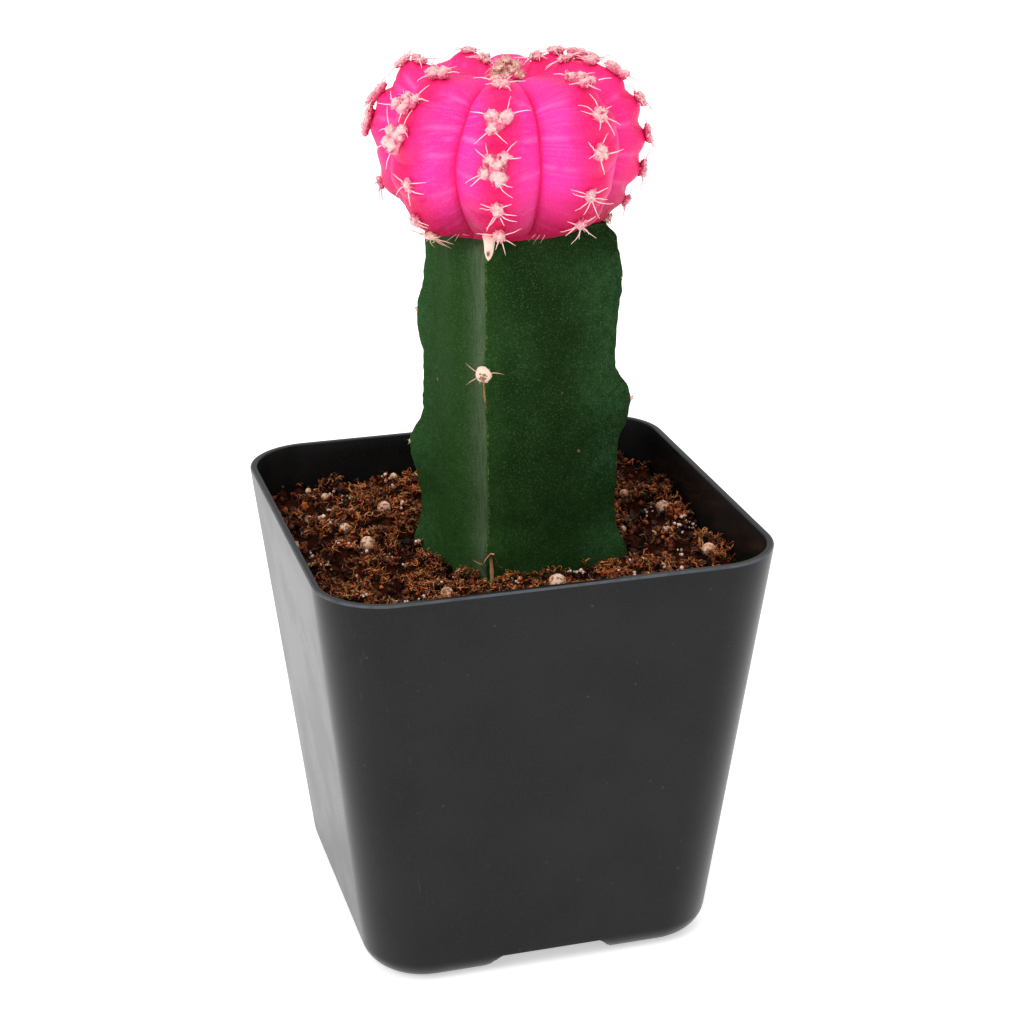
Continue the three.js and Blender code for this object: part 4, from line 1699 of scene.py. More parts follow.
    def build_bed(self) -> bpy.types.Object:
        """Makes the bed of peat, in place of its CAD node.

        Returns:
            The piece.
        """
        inner = self.pot.base_rounding - self.inset
        rounded = self.pot.rounding(inner, np.linspace(0, math.pi / 2, 5), self.inset)
        rings = np.array([
            *[self.pot.over_channels(self.pot.ring(*place), self.inset) for place in rounded],
            *[self.pot.ring(z, self.inset) for z in self.bed_levels],
        ])
        columns = rings.shape[1]
        edge = rings[-1]
        centre = np.array([self.stem.x, self.stem.y, 0])
        shares = np.linspace(0, 1, self.bed_steps // 2)[:-1]
        top = edge[None] + (centre - edge)[None] * shares[:, None, None]
        x, y = top[..., 0], top[..., 1]
        level = self.height(x, y) + self.relief(x, y)
        beside_stem = smoothstep(self.clear_of_stem(x, y, 0.0), -1.5, 0.2)
        top[..., 2] = lerp(self.stem_z - self.under_stem_depth, level - self.bed_depth, beside_stem)
        outline = self.pot.ring(self.inset, self.pot.base_rounding)
        under = [outline * [share, share, 1] for share in np.linspace(0, 1, 22)[:-1]]
        under = [self.pot.over_channels(ring, self.inset) for ring in under]
        batch = MeshBatch()
        for part in (rings, np.array([*under, rings[0]]), np.concatenate([rings[-1:], top])):
            batch.add(part, grid_faces(len(part), columns, wrap=True))
        return settle(batch, "peat_bed", "soil", PeatBed(), "soil", weld=True)

    def scatter(
        self, random: np.random.Generator, count: int, margin: float
    ) -> tuple[np.ndarray, np.ndarray]:
        """Places over the soil, outside the stem and inside the pot.

        Args:
            random: Source of the places.
            count: How many places.
            margin: Room kept to the stem and the wall.

        Returns:
            Their x and y.
        """
        x, y = random.uniform(-self.half_width, self.half_width, (2, count * 3))
        fits = self.inside_pot(x, y, margin) & (self.clear_of_stem(x, y, margin) > 0)
        return x[fits][:count], y[fits][:count]

    def build_crumbs(self) -> bpy.types.Object:
        """Makes the loose crumbs of peat and bark.

        Returns:
            The piece.
        """
        random = np.random.default_rng(self.seed)
        batch = MeshBatch()
        for kind in self.crumbs:
            x, y = self.scatter(random, kind.count, kind.high * 0.6)
            size = lerp(kind.low, kind.high, random.random(len(x)) ** 2)
            z = self.height(x, y) + self.relief(x, y) + size * (0.45 - kind.sink)
            z += random.uniform(-0.15, 0.35, len(x))
            sizes = size[:, None] * random.uniform(0.6, 1.25, (len(x), 3))
            tone = np.clip(random.normal(0.34, 0.2, len(x)), 0, 0.85)
            # Painted shade: crumbs darker in hollows of the relief; they get no painted top light.
            add_blobs(
                batch, ball(kind.detail), np.column_stack([x, y, z]), sizes,
                random_turns(random, len(x)), 0.6, 1.7, self.seed + kind.detail, tone=tone,
                sunk=smoothstep(-self.relief(x, y), 0.1, 1.0), proud=0.0,
            )
        return settle(batch, "peat_crumbs", "soil", CoirCrumb())

    def build_curls(self, name: str, count: int, size: CurlSize, seed: int) -> bpy.types.Object:
        """Makes curled bits of coir that lie over the crumbs.

        Args:
            name: Name of the piece.
            count: How many curls.
            size: Their sizes.
            seed: Picks their places.

        Returns:
            The piece.
        """
        random = np.random.default_rng(seed)
        x, y = self.scatter(random, round(count * 3.2), 0.45)
        raised = smoothstep(self.relief(x, y), -0.6, 0.5) > random.random(len(x))
        x, y = x[raised][:count], y[raised][:count]
        count = len(x)
        middle = np.column_stack([x, y, self.height(x, y) + self.relief(x, y)])
        middle[:, 2] += random.uniform(0.1, 0.75, count)
        radii = random.uniform(*size.radius, count)
        turn = random.uniform(*size.sweep, count)
        axis = unit(random.normal(size=(count, 3)) * [1.0, 1.0, 0.9])
        across = unit(np.cross(axis, random.normal(size=(count, 3))))
        onwards = np.cross(axis, across)
        t = np.linspace(-0.5, 0.5, self.curl_steps)
        angle = t[None] * turn[:, None]
        circle = across[:, None] * np.cos(angle)[..., None]
        circle = circle + onwards[:, None] * np.sin(angle)[..., None]
        paths = middle[:, None] + (circle - across[:, None]) * radii[:, None, None]
        paths += axis[:, None] * (t[None] * random.uniform(-1, 1, (count, 1)))[..., None]
        paths += 0.08 * random.normal(size=paths.shape)
        level = self.height(paths[..., 0], paths[..., 1])
        paths[..., 2] = np.clip(paths[..., 2], level - 1.0, level - 1.0 + 2.6)
        width = random.uniform(*size.thick, (count, 1)) * (1 - 0.75 * np.abs(t * 2) ** 2.5)
        tone = random.uniform(0.0, 1.0, count) ** 1.15
        relief = self.relief(paths[..., 0], paths[..., 1])
        above = paths[..., 2] - level - relief
        # Painted shade low down and in hollows, and painted light on the high parts of each curl.
        sunk = np.maximum(1 - smoothstep(above, -0.15, 0.55), 0.85 * smoothstep(-relief, 0.2, 0.9))
        proud = smoothstep(above, 0.4, 1.0) * (1 - sunk)
        batch = MeshBatch()
        add_strands(batch, paths, width, axis, 3, tone=tone, sunk=sunk, proud=proud)
        return settle(batch, name, "soil", CoirCrumb())

    def build_prills(self) -> bpy.types.Object:
        """Makes the round feed prills and the white grit.

        Returns:
            The piece.
        """
        random = np.random.default_rng(self.seed + 2)
        batch = MeshBatch()
        x, y, radius, lift = np.array(self.prills).T
        centres = np.column_stack([x, y, self.height(x, y) + lift])
        sizes = radius[:, None] * random.uniform(0.95, 1.04, (len(x), 3))
        upright = np.tile(np.eye(3), (len(x), 1, 1))
        add_blobs(batch, ball(4), centres, sizes, upright, 0.035, 2.2, 4, white=0.0)
        x, y = self.scatter(random, self.grit_groups, 0.8)
        each = self.grit_per_group
        x = np.repeat(x, each) + random.normal(0, self.grit_spread, len(x) * each)
        y = np.repeat(y, each) + random.normal(0, self.grit_spread, len(y) * each)
        fits = self.inside_pot(x, y, 0.5) & (self.clear_of_stem(x, y, 0.5) > 0)
        x, y = x[fits], y[fits]
        size = random.uniform(0.1, 0.36, len(x)) ** 1.1
        z = self.height(x, y) + self.relief(x, y) + random.uniform(0.2, 0.85, len(x))
        sizes = size[:, None] * random.uniform(0.7, 1.2, (len(x), 3))
        add_blobs(
            batch, ball(2), np.column_stack([x, y, z]), sizes, random_turns(random, len(x)),
            0.25, 1.5, 8, white=random.uniform(0.1, 0.85, len(x)),
        )
        return settle(batch, "prills_and_grit", "soil", ChalkyPrill())

    def build(self) -> None:
        """Makes all of the soil."""
        self.build_bed()
        self.build_crumbs()
        self.build_curls("coir_fibres", self.fibres, self.fibre_size, self.seed + 1)
        self.build_curls("coir_flakes", self.flakes, self.flake_size, self.seed + 3)
        self.build_prills()


# Areoles


class AreoleForm(Enum):
    """How the wool of an areole is bunched."""

    SINGLE = "one pointed ball"
    ROUND = "one wide pitted cushion"
    CLUSTER = "five lobes round a gap"
    QUARTET = "four lobes round a gap"
    TUFT = "small balls under short bristles"
    DISC = "flat felted disc"


@dataclass(frozen=True)
class SpineSet:
    """Spines of one areole: how many, their shortest and longest, and radius at the root."""

    count: int
    length: Range = (1.8, 3.2)
    thickness: float = 0.095


@dataclass
class Areole:
    """One areole: its place on the skin and the large lobes of its wool, in its own axes."""

    point: np.ndarray
    axes: np.ndarray
    form: AreoleForm
    size: float
    tan: float
    middles: np.ndarray
    radii: np.ndarray

    def placed(self, local: np.ndarray) -> np.ndarray:
        """Places of points that are given in the areole's axes."""
        return self.point + local @ self.axes.T


@dataclass
class AreoleMaker:
    """Gathers the wool, hairs and spines of one plant's areoles.

    The lobes and scars are given flat, as sideways, upwards and radius. Each spine of the
    stub is its radius, how dark it is and its path in the picture's plane.
    """

    seed: int
    wool: MeshBatch = field(default_factory=MeshBatch)
    spines: MeshBatch = field(default_factory=MeshBatch)
    cluster: tuple[Triple, ...] = (
        (0.0, 0.0, 0.88), (-1.2, 0.8, 0.85), (1.0, 0.75, 0.92), (1.75, -0.7, 0.86),
        (0.15, -1.55, 0.92),
    )
    quartet: tuple[Triple, ...] = (
        (0.0, 0.0, 0.78), (-1.15, 0.55, 0.84), (0.95, 0.8, 0.96), (0.75, -1.15, 0.92),
    )
    disc_turns: tuple[float, ...] = (158, 207, 22)
    disc_rise: float = 0.42
    scars: tuple[Triple, ...] = (
        (-0.3, 0.15, 0.13), (0.2, 0.1, 0.19), (-0.08, -0.26, 0.22), (0.28, -0.36, 0.17),
        (-0.36, -0.45, 0.13), (0.0, -0.62, 0.18), (0.5, -0.05, 0.1),
    )
    stub_spines: tuple[tuple[float, float, tuple[Range, ...]], ...] = (
        (0.12, 0.2, ((0.5, 0.15), (0.1, 0.2), (-0.4, 0.1), (-1.0, 0.25))),
        (0.09, 0.1, ((-0.1, 0.1), (-0.54, -0.28), (-1.0, -0.86), (-1.3, -1.35))),
        (0.1, 1.0, (
            (0.0, 0.1), (-0.9, 0.15), (-1.6, -0.5), (-1.7, -1.2), (-1.25, -2.1), (-1.0, -3.0),
        )),
        (0.09, 0.25, ((-1.5, -1.3), (-1.9, -1.2), (-2.4, -0.85), (-3.15, -0.35))),
        (0.09, 1.0, ((-0.1, 0.1), (0.4, -0.1), (0.8, -0.95), (0.6, -1.9))),
        (0.075, 1.0, ((0.6, -1.5), (1.05, -1.6), (1.4, -1.8), (1.8, -2.2))),
    )
    bristles: int = 12

    def __post_init__(self) -> None:
        """Starts the source of random numbers."""
        self.random = np.random.default_rng(self.seed)
        self.round_ball = ball(3)
        self.small_ball = ball(2)

    def noise_seed(self) -> int:
        """Picks the lumps of the next balls."""
        return int(self.random.integers(1, 9999))

    def lobes(self, form: AreoleForm, size: float) -> tuple[np.ndarray, np.ndarray]:
        """Places and radii of the large lobes of an areole, in its own axes.

        Args:
            form: How the wool is bunched.
            size: Scale of the whole areole.

        Returns:
            Middles, as sideways, upwards and outwards, and radii.
        """
        random = self.random
        if form in (AreoleForm.CLUSTER, AreoleForm.QUARTET):
            flat = np.array(self.cluster if form is AreoleForm.CLUSTER else self.quartet)
            spin = math.radians(random.uniform(-24, 24))
            turn = np.array([[math.cos(spin), -math.sin(spin)], [math.sin(spin), math.cos(spin)]])
            places = (flat[:, :2] + random.normal(0, 0.12, (len(flat), 2))) @ turn.T
            places = places * [random.choice([-1, 1]), 1]
            radii = flat[:, 2] * random.uniform(0.88, 1.12, len(flat))
            lift = np.where(np.arange(len(flat)) == 0, 0.25, 0.46)
        elif form is AreoleForm.SINGLE:
            places = np.array([[0.0, 0.15], [0.08, -0.4], [-0.32, 0.0]])
            radii = np.array([0.74, 0.6, 0.5])
            lift = np.array([0.42, 0.3, 0.25])
        elif form is AreoleForm.ROUND:
            places = polar(np.array([20, 95, 170, 245, 310]), 0.66) * [1.15, 0.95]
            places = places + random.normal(0, 0.12, (5, 2))
            radii = random.uniform(0.58, 0.74, 5)
            lift = random.uniform(0.26, 0.44, 5)
        elif form is AreoleForm.TUFT:
            places = random.normal(0, 0.6, (5, 2)) * [1.3, 0.7]
            radii = random.uniform(0.4, 0.62, 5)
            lift = random.uniform(0.15, 0.4, 5)
        else:
            places, radii, lift = np.zeros((1, 2)), np.ones(1), np.zeros(1)
        return np.column_stack([places, lift]) * size, radii * size

    def add(
        self, point: np.ndarray, normal: np.ndarray, form: AreoleForm, size: float,
        spines: SpineSet, tan: float = 0.0, hairs: int = 34,
    ) -> None:
        """Adds an areole.

        Args:
            point: Its middle on the skin.
            normal: Outwards from the skin.
            form: How its wool is bunched.
            size: Scale of its wool.
            spines: The spines that spread from it.
            tan: How brown it is, from 0 to 1.
            hairs: How many short hairs stand on its wool.
        """
        areole = Areole(point, frame_on(normal), form, size, tan, *self.lobes(form, size))
        self.add_lobes(areole)
        if form is not AreoleForm.DISC:
            self.add_nubs(areole)
        self.add_hairs(areole, hairs)
        self.add_spines(areole, spines)
        if form is AreoleForm.DISC:
            self.add_scars(areole)
        if form is AreoleForm.TUFT:
            self.add_bristles(areole)

    def add_lobes(self, areole: Areole) -> None:
        """Adds the large lobes of an areole, over a low pink cushion.

        Args:
            areole: The areole.
        """
        random, axes, radii = self.random, areole.axes, areole.radii
        placed, count = areole.placed(areole.middles), len(radii)
        disc = areole.form is AreoleForm.DISC
        uneven = random.uniform(0.82, 1.18, (count, 3)) * [1, 1, self.disc_rise if disc else 0.74]
        if disc:
            uneven[:, :2] = 1.0
        spins = random.uniform(0, 2 * math.pi, count)
        turns = np.stack([axes @ frame_on(UP, spin) for spin in spins])
        add_blobs(
            self.wool, self.round_ball, placed, radii[:, None] * uneven, turns,
            0.1 if disc else 0.5, 2.3, self.noise_seed(), tan=areole.tan, pile=1.0,
        )
        if not disc:
            middle = placed.mean(axis=0) - axes[:, 2] * 0.2
            reach = np.abs((placed - middle) @ axes[:, :2]).max(axis=0) + radii.mean() * 0.4
            low = np.array([[*reach, radii.mean() * 0.55]])
            # The low cushion gets a small share of the painted top light, so it stays in painted
            # shade.
            add_blobs(
                self.wool, self.round_ball, middle[None], low, axes[None], 0.25, 1.6,
                self.noise_seed(), tan=areole.tan, pile=0.35,
            )

    def add_scars(self, areole: Areole) -> None:
        """Adds small brown scars on the face of a felted disc.

        Args:
            areole: The disc.
        """
        flat = np.array(self.scars)
        domed = self.disc_rise * np.sqrt(np.maximum(1 - (flat[:, :2] ** 2).sum(axis=1), 0))
        local = np.column_stack([flat[:, :2], domed]) * areole.size
        sizes = flat[:, 2:] * areole.size * [[1.25, 0.8, 0.5]]
        turns = np.stack([areole.axes] * len(flat))
        add_blobs(
            self.spines, self.small_ball, areole.placed(local), sizes, turns, 0.3, 1.8, 5,
            tan=1.0, dark=0.6,
        )

    def add_nubs(self, areole: Areole) -> None:
        """Adds small nubs of wool round the lobes.

        Args:
            areole: The areole.
        """
        random, middles, radii = self.random, areole.middles, areole.radii
        nubs = 3 * len(middles)
        chosen = np.arange(nubs) % len(middles)
        away = polar(random.uniform(0, 360, nubs), 1.0) * (radii[chosen] * 0.85)[:, None]
        local = middles[chosen] + np.column_stack([away, random.uniform(-0.1, 0.25, nubs)])
        size = radii[chosen] * random.uniform(0.25, 0.5, nubs)
        sizes = size[:, None] * random.uniform(0.7, 1.3, (nubs, 3))
        add_blobs(
            self.wool, self.small_ball, areole.placed(local), sizes, random_turns(random, nubs),
            0.3, 1.8, self.noise_seed(), tan=areole.tan, pile=1.0,
        )

    def spine_turns(self, form: AreoleForm, count: int) -> np.ndarray:
        """Turns of an areole's spines round it, in radians.

        Args:
            form: How its wool is bunched.
            count: How many spines.

        Returns:
            The turns.
        """
        random = self.random
        if form is AreoleForm.DISC:
            return np.radians(np.array(self.disc_turns[:count]))
        if form is AreoleForm.SINGLE:
            return np.radians(np.linspace(-200, 20, count) + random.uniform(-12, 12, count))
        start = random.uniform(0, 360)
        return np.radians(start + np.arange(count) * 360 / count + random.uniform(-18, 18, count))

    def add_spines(self, areole: Areole, spines: SpineSet) -> None:
        """Adds the spines of an areole, each from the lobe on its own side.

        Args:
            areole: The areole.
            spines: Its spines.
        """
        random, axes, count = self.random, areole.axes, spines.count
        middles, radii = areole.middles, areole.radii
        around = self.spine_turns(areole.form, count)
        tilt = np.radians(random.uniform(64, 88, count))
        outward = np.stack([np.cos(around), np.sin(around), np.zeros(count)], -1)
        local = outward * np.sin(tilt)[:, None] + UP * np.cos(tilt)[:, None]
        nearest = np.argmax(outward @ middles.T + radii[None] * 0.3, axis=1)
        roots = middles[nearest] + outward * (radii[nearest] * 0.55)[:, None] + [0, 0, 0.1]
        directions = local @ axes.T
        lengths = random.uniform(*spines.length, count)[:, None, None]
        t = np.linspace(0, 1, 7)
        swing = random.normal(0, 0.22, (count, 1))
        bend = axes[:, 2] * -0.18 + np.cross(axes[:, 2], outward @ axes.T) * swing
        loose = np.array([0, 0, 1, 1, 1, 1, 0.5])[:, None]
        kink = random.normal(0, 0.022, (count, len(t), 3)) * loose
        straight = directions[:, None] * (t[None, :, None] * lengths)
        paths = areole.placed(roots)[:, None] + straight
        paths = paths + bend[:, None] * (t[None, :, None] ** 2 * lengths) + kink
        width = spines.thickness * random.uniform(0.8, 1.15, (count, 1)) * (1 - 0.66 * t**1.6)
        tan = areole.tan * random.uniform(0.7, 1.0, count)
        sideways = np.cross(directions, axes[:, 2])
        add_strands(self.spines, paths, width, sideways, 5, tan=tan, dark=0.0)

    def add_stub(self, point: np.ndarray, height: float, radius: float) -> None:
        """Adds a dry stub with thin spines that arch down from its top.

        Args:
            point: Middle of its foot.
            height: Its height.
            radius: Its radius at the foot.
        """
        t = np.linspace(0, 1, 10)
        back = np.array([0, 1.0, 0])
        path = point + np.column_stack([-0.3 * t**2, -0.1 * t, height * t])
        width = radius * (1 - 0.35 * t) * (1 + 0.12 * np.sin(t * 19))
        add_strands(self.spines, path, width, back, 10, tan=1.0, dark=0.4)
        across = np.array([*PICTURE_RIGHT, 0.0])
        t = np.linspace(0, 1, 16)
        for thickness, dark, bends in self.stub_spines:
            flat = SmoothLine(np.array(bends)).at(t)
            bent = path[-1] + flat[:, :1] * across + flat[:, 1:] * UP
            bent[:, 1] -= 0.35 + 0.3 * np.abs(flat[:, 0])
            taper = thickness * (1 - 0.55 * t**2)
            add_strands(self.spines, bent, taper, back, 5, tan=1.0, dark=dark)

    def add_hairs(self, areole: Areole, count: int) -> None:
        """Adds short hairs over the lobes of an areole.

        Args:
            areole: The areole.
            count: How many hairs.
        """
        random, radii = self.random, areole.radii
        chosen = random.choice(len(radii), count, p=radii / radii.sum())
        out = unit(random.normal(size=(count, 3)) + [0, 0, 0.7]) @ areole.axes.T
        roots = areole.placed(areole.middles)[chosen] + out * radii[chosen, None] * 0.85
        length = random.uniform(0.2, 0.5, (count, 1, 1))
        t = np.linspace(0, 1, 4)[:, None]
        lean = unit(random.normal(size=(count, 3)))[:, None] * 0.5
        paths = roots[:, None] + (out[:, None] * t + lean * t * t) * length
        width = 0.055 * (1 - 0.75 * t[:, 0])
        sideways = unit(np.cross(out, random.normal(size=(count, 3))))
        add_strands(self.spines, paths, width, sideways, 3, tan=areole.tan * 0.6, dark=0.0)

    def add_bristles(self, areole: Areole) -> None:
        """Adds short upright bristles over a tuft.

        Args:
            areole: The tuft.
        """
        random, axes, size, count = self.random, areole.axes, areole.size, self.bristles
        out = unit(random.normal(size=(count, 3)) * [0.7, 0.5, 0.2] + UP) @ axes.T
        apart = random.normal(0, 0.55, (count, 2)) * [1.3, 0.6]
        roots = areole.point + np.column_stack([apart, np.full(count, 0.3)]) @ axes.T * size
        t = np.linspace(0, 1, 5)[:, None]
        paths = roots[:, None] + out[:, None] * t * random.uniform(0.9, 1.9, (count, 1, 1)) * size
        width = 0.085 * (1 - 0.8 * t[:, 0])
        sideways = unit(np.cross(out, random.normal(size=(count, 3))))
        add_strands(self.spines, paths, width, sideways, 4, tan=areole.tan * 0.25, dark=0.0)

    def build(self, prefix: str, slot: str) -> None:
        """Makes the gathered wool and spines as two pieces.

        Args:
            prefix: Start of their names.
            slot: The record's material slot.
        """
        settle(self.wool, f"{prefix}_wool", slot, AreoleWool())
        settle(self.spines, f"{prefix}_spines", slot, SpineHorn())


# Pink cactus


@dataclass(frozen=True)
class Rib:
    """One rib of the globe.

    Places are those of its areoles up its crest, from 0 at the graft to 1 at the top.
    Forms and asides are their own forms and how far they stand beside the crest, in
    ribs, for as many of them as are given. Ripe is how red the rib is, from 0 to 1.
    """

    turn: float
    places: tuple[float, ...]
    forms: tuple[AreoleForm, ...] = ()
    ripe: float = 0.0
    asides: tuple[float, ...] = ()


@dataclass
class PinkGlobe:
    """Ribbed pink cactus with woolly areoles, spreading spines and one small bud.

    The crest is the reach and height over the graft of points up a rib. Old spines are
    groups at a place round the globe, each with its offset, turn and length. The tufts at
    the top are rings, each with how many, its reach and its height over the graft.
    """

    x: float = 1.46
    y: float = 0.28
    crest: tuple[Range, ...] = (
        (11.8, 0), (13.8, 1.2), (16.6, 4.1), (18.6, 8.2), (19.3, 12), (18.8, 16.1),
        (17.2, 19.3), (14.4, 21.7), (10.4, 22.8), (6.2, 22.4), (2.6, 21), (0, 20.4),
    )
    ribs: tuple[Rib, ...] = (
        Rib(-110, (0.12, 0.235, 0.382, 0.515, 0.655), (
            AreoleForm.SINGLE, AreoleForm.SINGLE, AreoleForm.CLUSTER, AreoleForm.QUARTET,
            AreoleForm.ROUND,
        )),
        Rib(-63, (0.14, 0.26, 0.4, 0.512, 0.645), (
            AreoleForm.SINGLE, AreoleForm.SINGLE, AreoleForm.ROUND, AreoleForm.ROUND,
            AreoleForm.CLUSTER,
        ), asides=(-0.1, -0.11, -0.06)),
        Rib(-16, (0.06, 0.148, 0.268, 0.382, 0.5, 0.615, 0.7, 0.785), ripe=0.75),
        Rib(29, (0.09, 0.21, 0.35, 0.49, 0.62, 0.75, 0.84), ripe=0.6),
        Rib(74, (0.127, 0.245, 0.39, 0.53), ripe=0.2),
        Rib(114, (0.1, 0.22, 0.365, 0.51, 0.775, 0.855), ripe=0.4),
        Rib(159, (0.21, 0.425, 0.51, 0.64, 0.685), (
            AreoleForm.SINGLE, AreoleForm.CLUSTER, AreoleForm.CLUSTER, AreoleForm.ROUND,
            AreoleForm.ROUND,
        ), ripe=0.6),
        Rib(204, (0.075, 0.145, 0.29, 0.44, 0.548, 0.68), (
            AreoleForm.SINGLE, AreoleForm.SINGLE, AreoleForm.SINGLE, AreoleForm.CLUSTER,
            AreoleForm.CLUSTER, AreoleForm.CLUSTER,
        ), asides=(0.06, 0.02, 0.11)),
    )
    half_rib: float = 6.5
    right_furrow_lean: float = -3.2
    left_furrow_lean: Range = (0.5, 4.6)
    furrow_depth: float = 2.4
    furrow_sharpness: float = 2.8
    furrow_foot: float = 0.35
    furrow_fade: float = 0.2
    pinch_depth: float = 0.3
    pinch_width: float = 0.1
    chin_height: float = 1.1
    chin_drop: float = 0.012
    chin_breadth: float = 0.8
    chin_span: float = 0.0725
    fold_slope: float = 0.18
    swells: NoiseLayers = ((0.3, 0.14, 21), (0.05, 0.8, 33))
    swell_fade: float = 2
    rib_columns: int = 48
    rows: int = 190
    last_row: float = 0.992
    young_spines: Range = (1.8, 3.2)
    foot_spines: Range = (2.3, 3.4)
    old_spines: tuple[tuple[float, tuple[Triple, ...]], ...] = (
        (7.3, ((-0.2, 212, 1.9), (0.25, 248, 1.6), (0.5, 20, 1.3))),
        (0.62, ((-0.7, 222, 1.9), (0.0, 230, 2.2), (0.7, 238, 1.9))),
    )
    old_spine_height: float = 0.02
    old_spine_thickness: float = 0.085
    top_tufts: tuple[tuple[int, float, float], ...] = (
        (1, 0.0, 22.3), (1, 0.0, 23.8), (5, 1.1, 23.0), (6, 1.9, 21.8),
    )
    top_tuft_size: float = 0.68
    top_tuft_tan: float = 0.88
    bud: Triple = (-5.08, -12.96, 111.85)
    bud_radius: float = 0.85
    bud_length: float = 4.0
    bud_profile: tuple[Range, ...] = (
        (0, 0.75), (0.1, 1.25), (0.25, 1.0), (0.5, 0.86), (0.72, 0.74), (0.9, 0.45), (1, 0.04),
    )
    bud_rows: int = 26
    bud_sides: int = 24
    seed: int = 71
    finish: Finish = field(default_factory=PinkSkin)

    def __post_init__(self) -> None:
        """Samples the crest line."""
        self.line = SmoothLine(np.array(self.crest))

    def rib_turn(self, ribwise: np.ndarray) -> np.ndarray:
        """Turns of places between ribs, which are counted from the first rib.

        Args:
            ribwise: The places.

        Returns:
            Degrees for each.
        """
        count = len(self.ribs)
        counts = np.arange(-count, 2 * count + 1)
        turns = [self.ribs[index % count].turn + 360 * (index // count) for index in counts]
        return np.interp(ribwise, counts, turns)

    def furrow_lean(self, ribwise: np.ndarray, crestwise: np.ndarray) -> np.ndarray:
        """How far the furrows beside the front rib stand aside.

        Args:
            ribwise: Places round the globe, counted in ribs.
            crestwise: Places up the crest.

        Returns:
            Degrees for each place.
        """
        between = np.mod(np.floor(ribwise), len(self.ribs)).astype(int)
        across = 2 * np.abs(ribwise - np.floor(ribwise + 0.5))
        left = lerp(*self.left_furrow_lean, smoothstep(crestwise, 0.3, 0.58))
        lean = np.where(between == 0, self.right_furrow_lean, 0.0)
        return across * np.where(between == len(self.ribs) - 1, left, lean)

    def surface(self, ribwise: Numbers, crestwise: Numbers, fine: bool = True) -> np.ndarray:
        """Points of the skin.

        Args:
            ribwise: Places round the globe, counted in ribs from the first crest.
            crestwise: Places up the crest, from 0 at the graft to 1 at the top.
            fine: Whether the fine folds are on it.

        Returns:
            Points in millimetres.
        """
        ribwise, crestwise = np.broadcast_arrays(ribwise, crestwise)
        nearest = np.floor(ribwise + 0.5)
        across = 2 * np.abs(ribwise - nearest)
        inside = np.clip(crestwise, 0, 1)
        crest, along = self.line.at(inside), self.line.along(inside)
        foot = smoothstep(crestwise, -self.furrow_foot, self.furrow_foot)
        top = smoothstep(1 - crestwise, 0, self.furrow_fade)
        lift = -self.furrow_depth * foot * top * across**self.furrow_sharpness
        index = np.mod(nearest, len(self.ribs)).astype(int)
        for number, rib in enumerate(self.ribs):
            on_rib = index == number
            for at in rib.places:
                chin = hump(crestwise - at + self.chin_drop, self.chin_span)
                lift = lift + on_rib * self.chin_height * chin * hump(across, self.chin_breadth)
                if fine:
                    lift = lift + on_rib * self.folds(across, (crestwise - at) * self.line.length)
        if fine:
            pinch = hump(across - 1, self.pinch_width) * top * foot
            lift = lift - self.pinch_depth * pinch
        reach = crest[..., 0] + along[..., 1] * lift
        height = np.where(crestwise > 0, np.maximum(crest[..., 1] - along[..., 0] * lift, 0), 0)
        turn = self.rib_turn(ribwise) + self.furrow_lean(ribwise, crestwise)
        flat = polar(turn, reach)
        return np.stack([flat[..., 0] + self.x, flat[..., 1] + self.y, GRAFT_Z + height], -1)

    def folds(self, across: np.ndarray, above: np.ndarray) -> np.ndarray:
        """Fine folds round an areole.

        Args:
            across: 0 on the crest and 1 in the furrow.
            above: Distance above the areole, along the crest.

        Returns:
            Lift of the skin.
        """
        side = across * self.half_rib
        away = np.hypot(side * 0.85, above + 0.6)
        crescent = -0.16 * bell(away - 3.3, 0.28) * smoothstep(-above, 0.8, 2.2)
        slope = above + 3.0 - self.fold_slope * side
        crease = -0.1 * bell(slope, 0.3) * smoothstep(across, 0.3, 0.55)
        return (crescent + crease) * (1 - smoothstep(across, 0.85, 1.0))

    def normal(self, ribwise: float, crestwise: float) -> np.ndarray:
        """Outward direction of the skin at a place, without its fine folds.

        Args:
            ribwise: Place round the globe, counted in ribs.
            crestwise: Place up the crest.

        Returns:
            The direction.
        """
        step = 0.01
        turns, places = ribwise + np.array([step, -step]), crestwise + np.array([step, -step])
        after, before = self.surface(turns, crestwise, fine=False)
        above, below = self.surface(ribwise, places, fine=False)
        return unit(np.cross(after - before, above - below))

    def skin_values(self, turn: np.ndarray, up: np.ndarray) -> dict[str, np.ndarray]:
        """Values that the skin's finish reads.

        Args:
            turn: Places round the globe, counted in ribs.
            up: Places up the crest.

        Returns:
            Each value's name and its amounts.
        """
        across = 2 * np.abs(turn - np.floor(turn + 0.5))
        index = np.mod(np.floor(turn + 0.5), len(self.ribs)).astype(int)
        near, crease = np.zeros_like(across), np.zeros_like(across)
        for number, rib in enumerate(self.ribs):
            for at in rib.places:
                above = (up - at) * self.line.length
                away = np.hypot(across * self.half_rib, above + 0.8)
                near = np.maximum(near, (index == number) * bell(away, 3.6))
                slope = above + 2.8 - self.fold_slope * across * self.half_rib
                mark = bell(slope, 0.42) * smoothstep(across, 0.3, 0.6)
                crease = np.maximum(crease, (index == number) * mark)
        ripeness = [rib.ripe for rib in self.ribs]
        return {
            "across": across,
            "rise": up * self.line.length,
            "areole_near": near,
            "crease": crease * (1 - smoothstep(across, 0.93, 1.0)),
            "low": 1 - smoothstep(up, 0.03, 0.34),
            "ripe": np.interp(turn, np.arange(len(ripeness)), ripeness, period=len(ripeness)),
        }

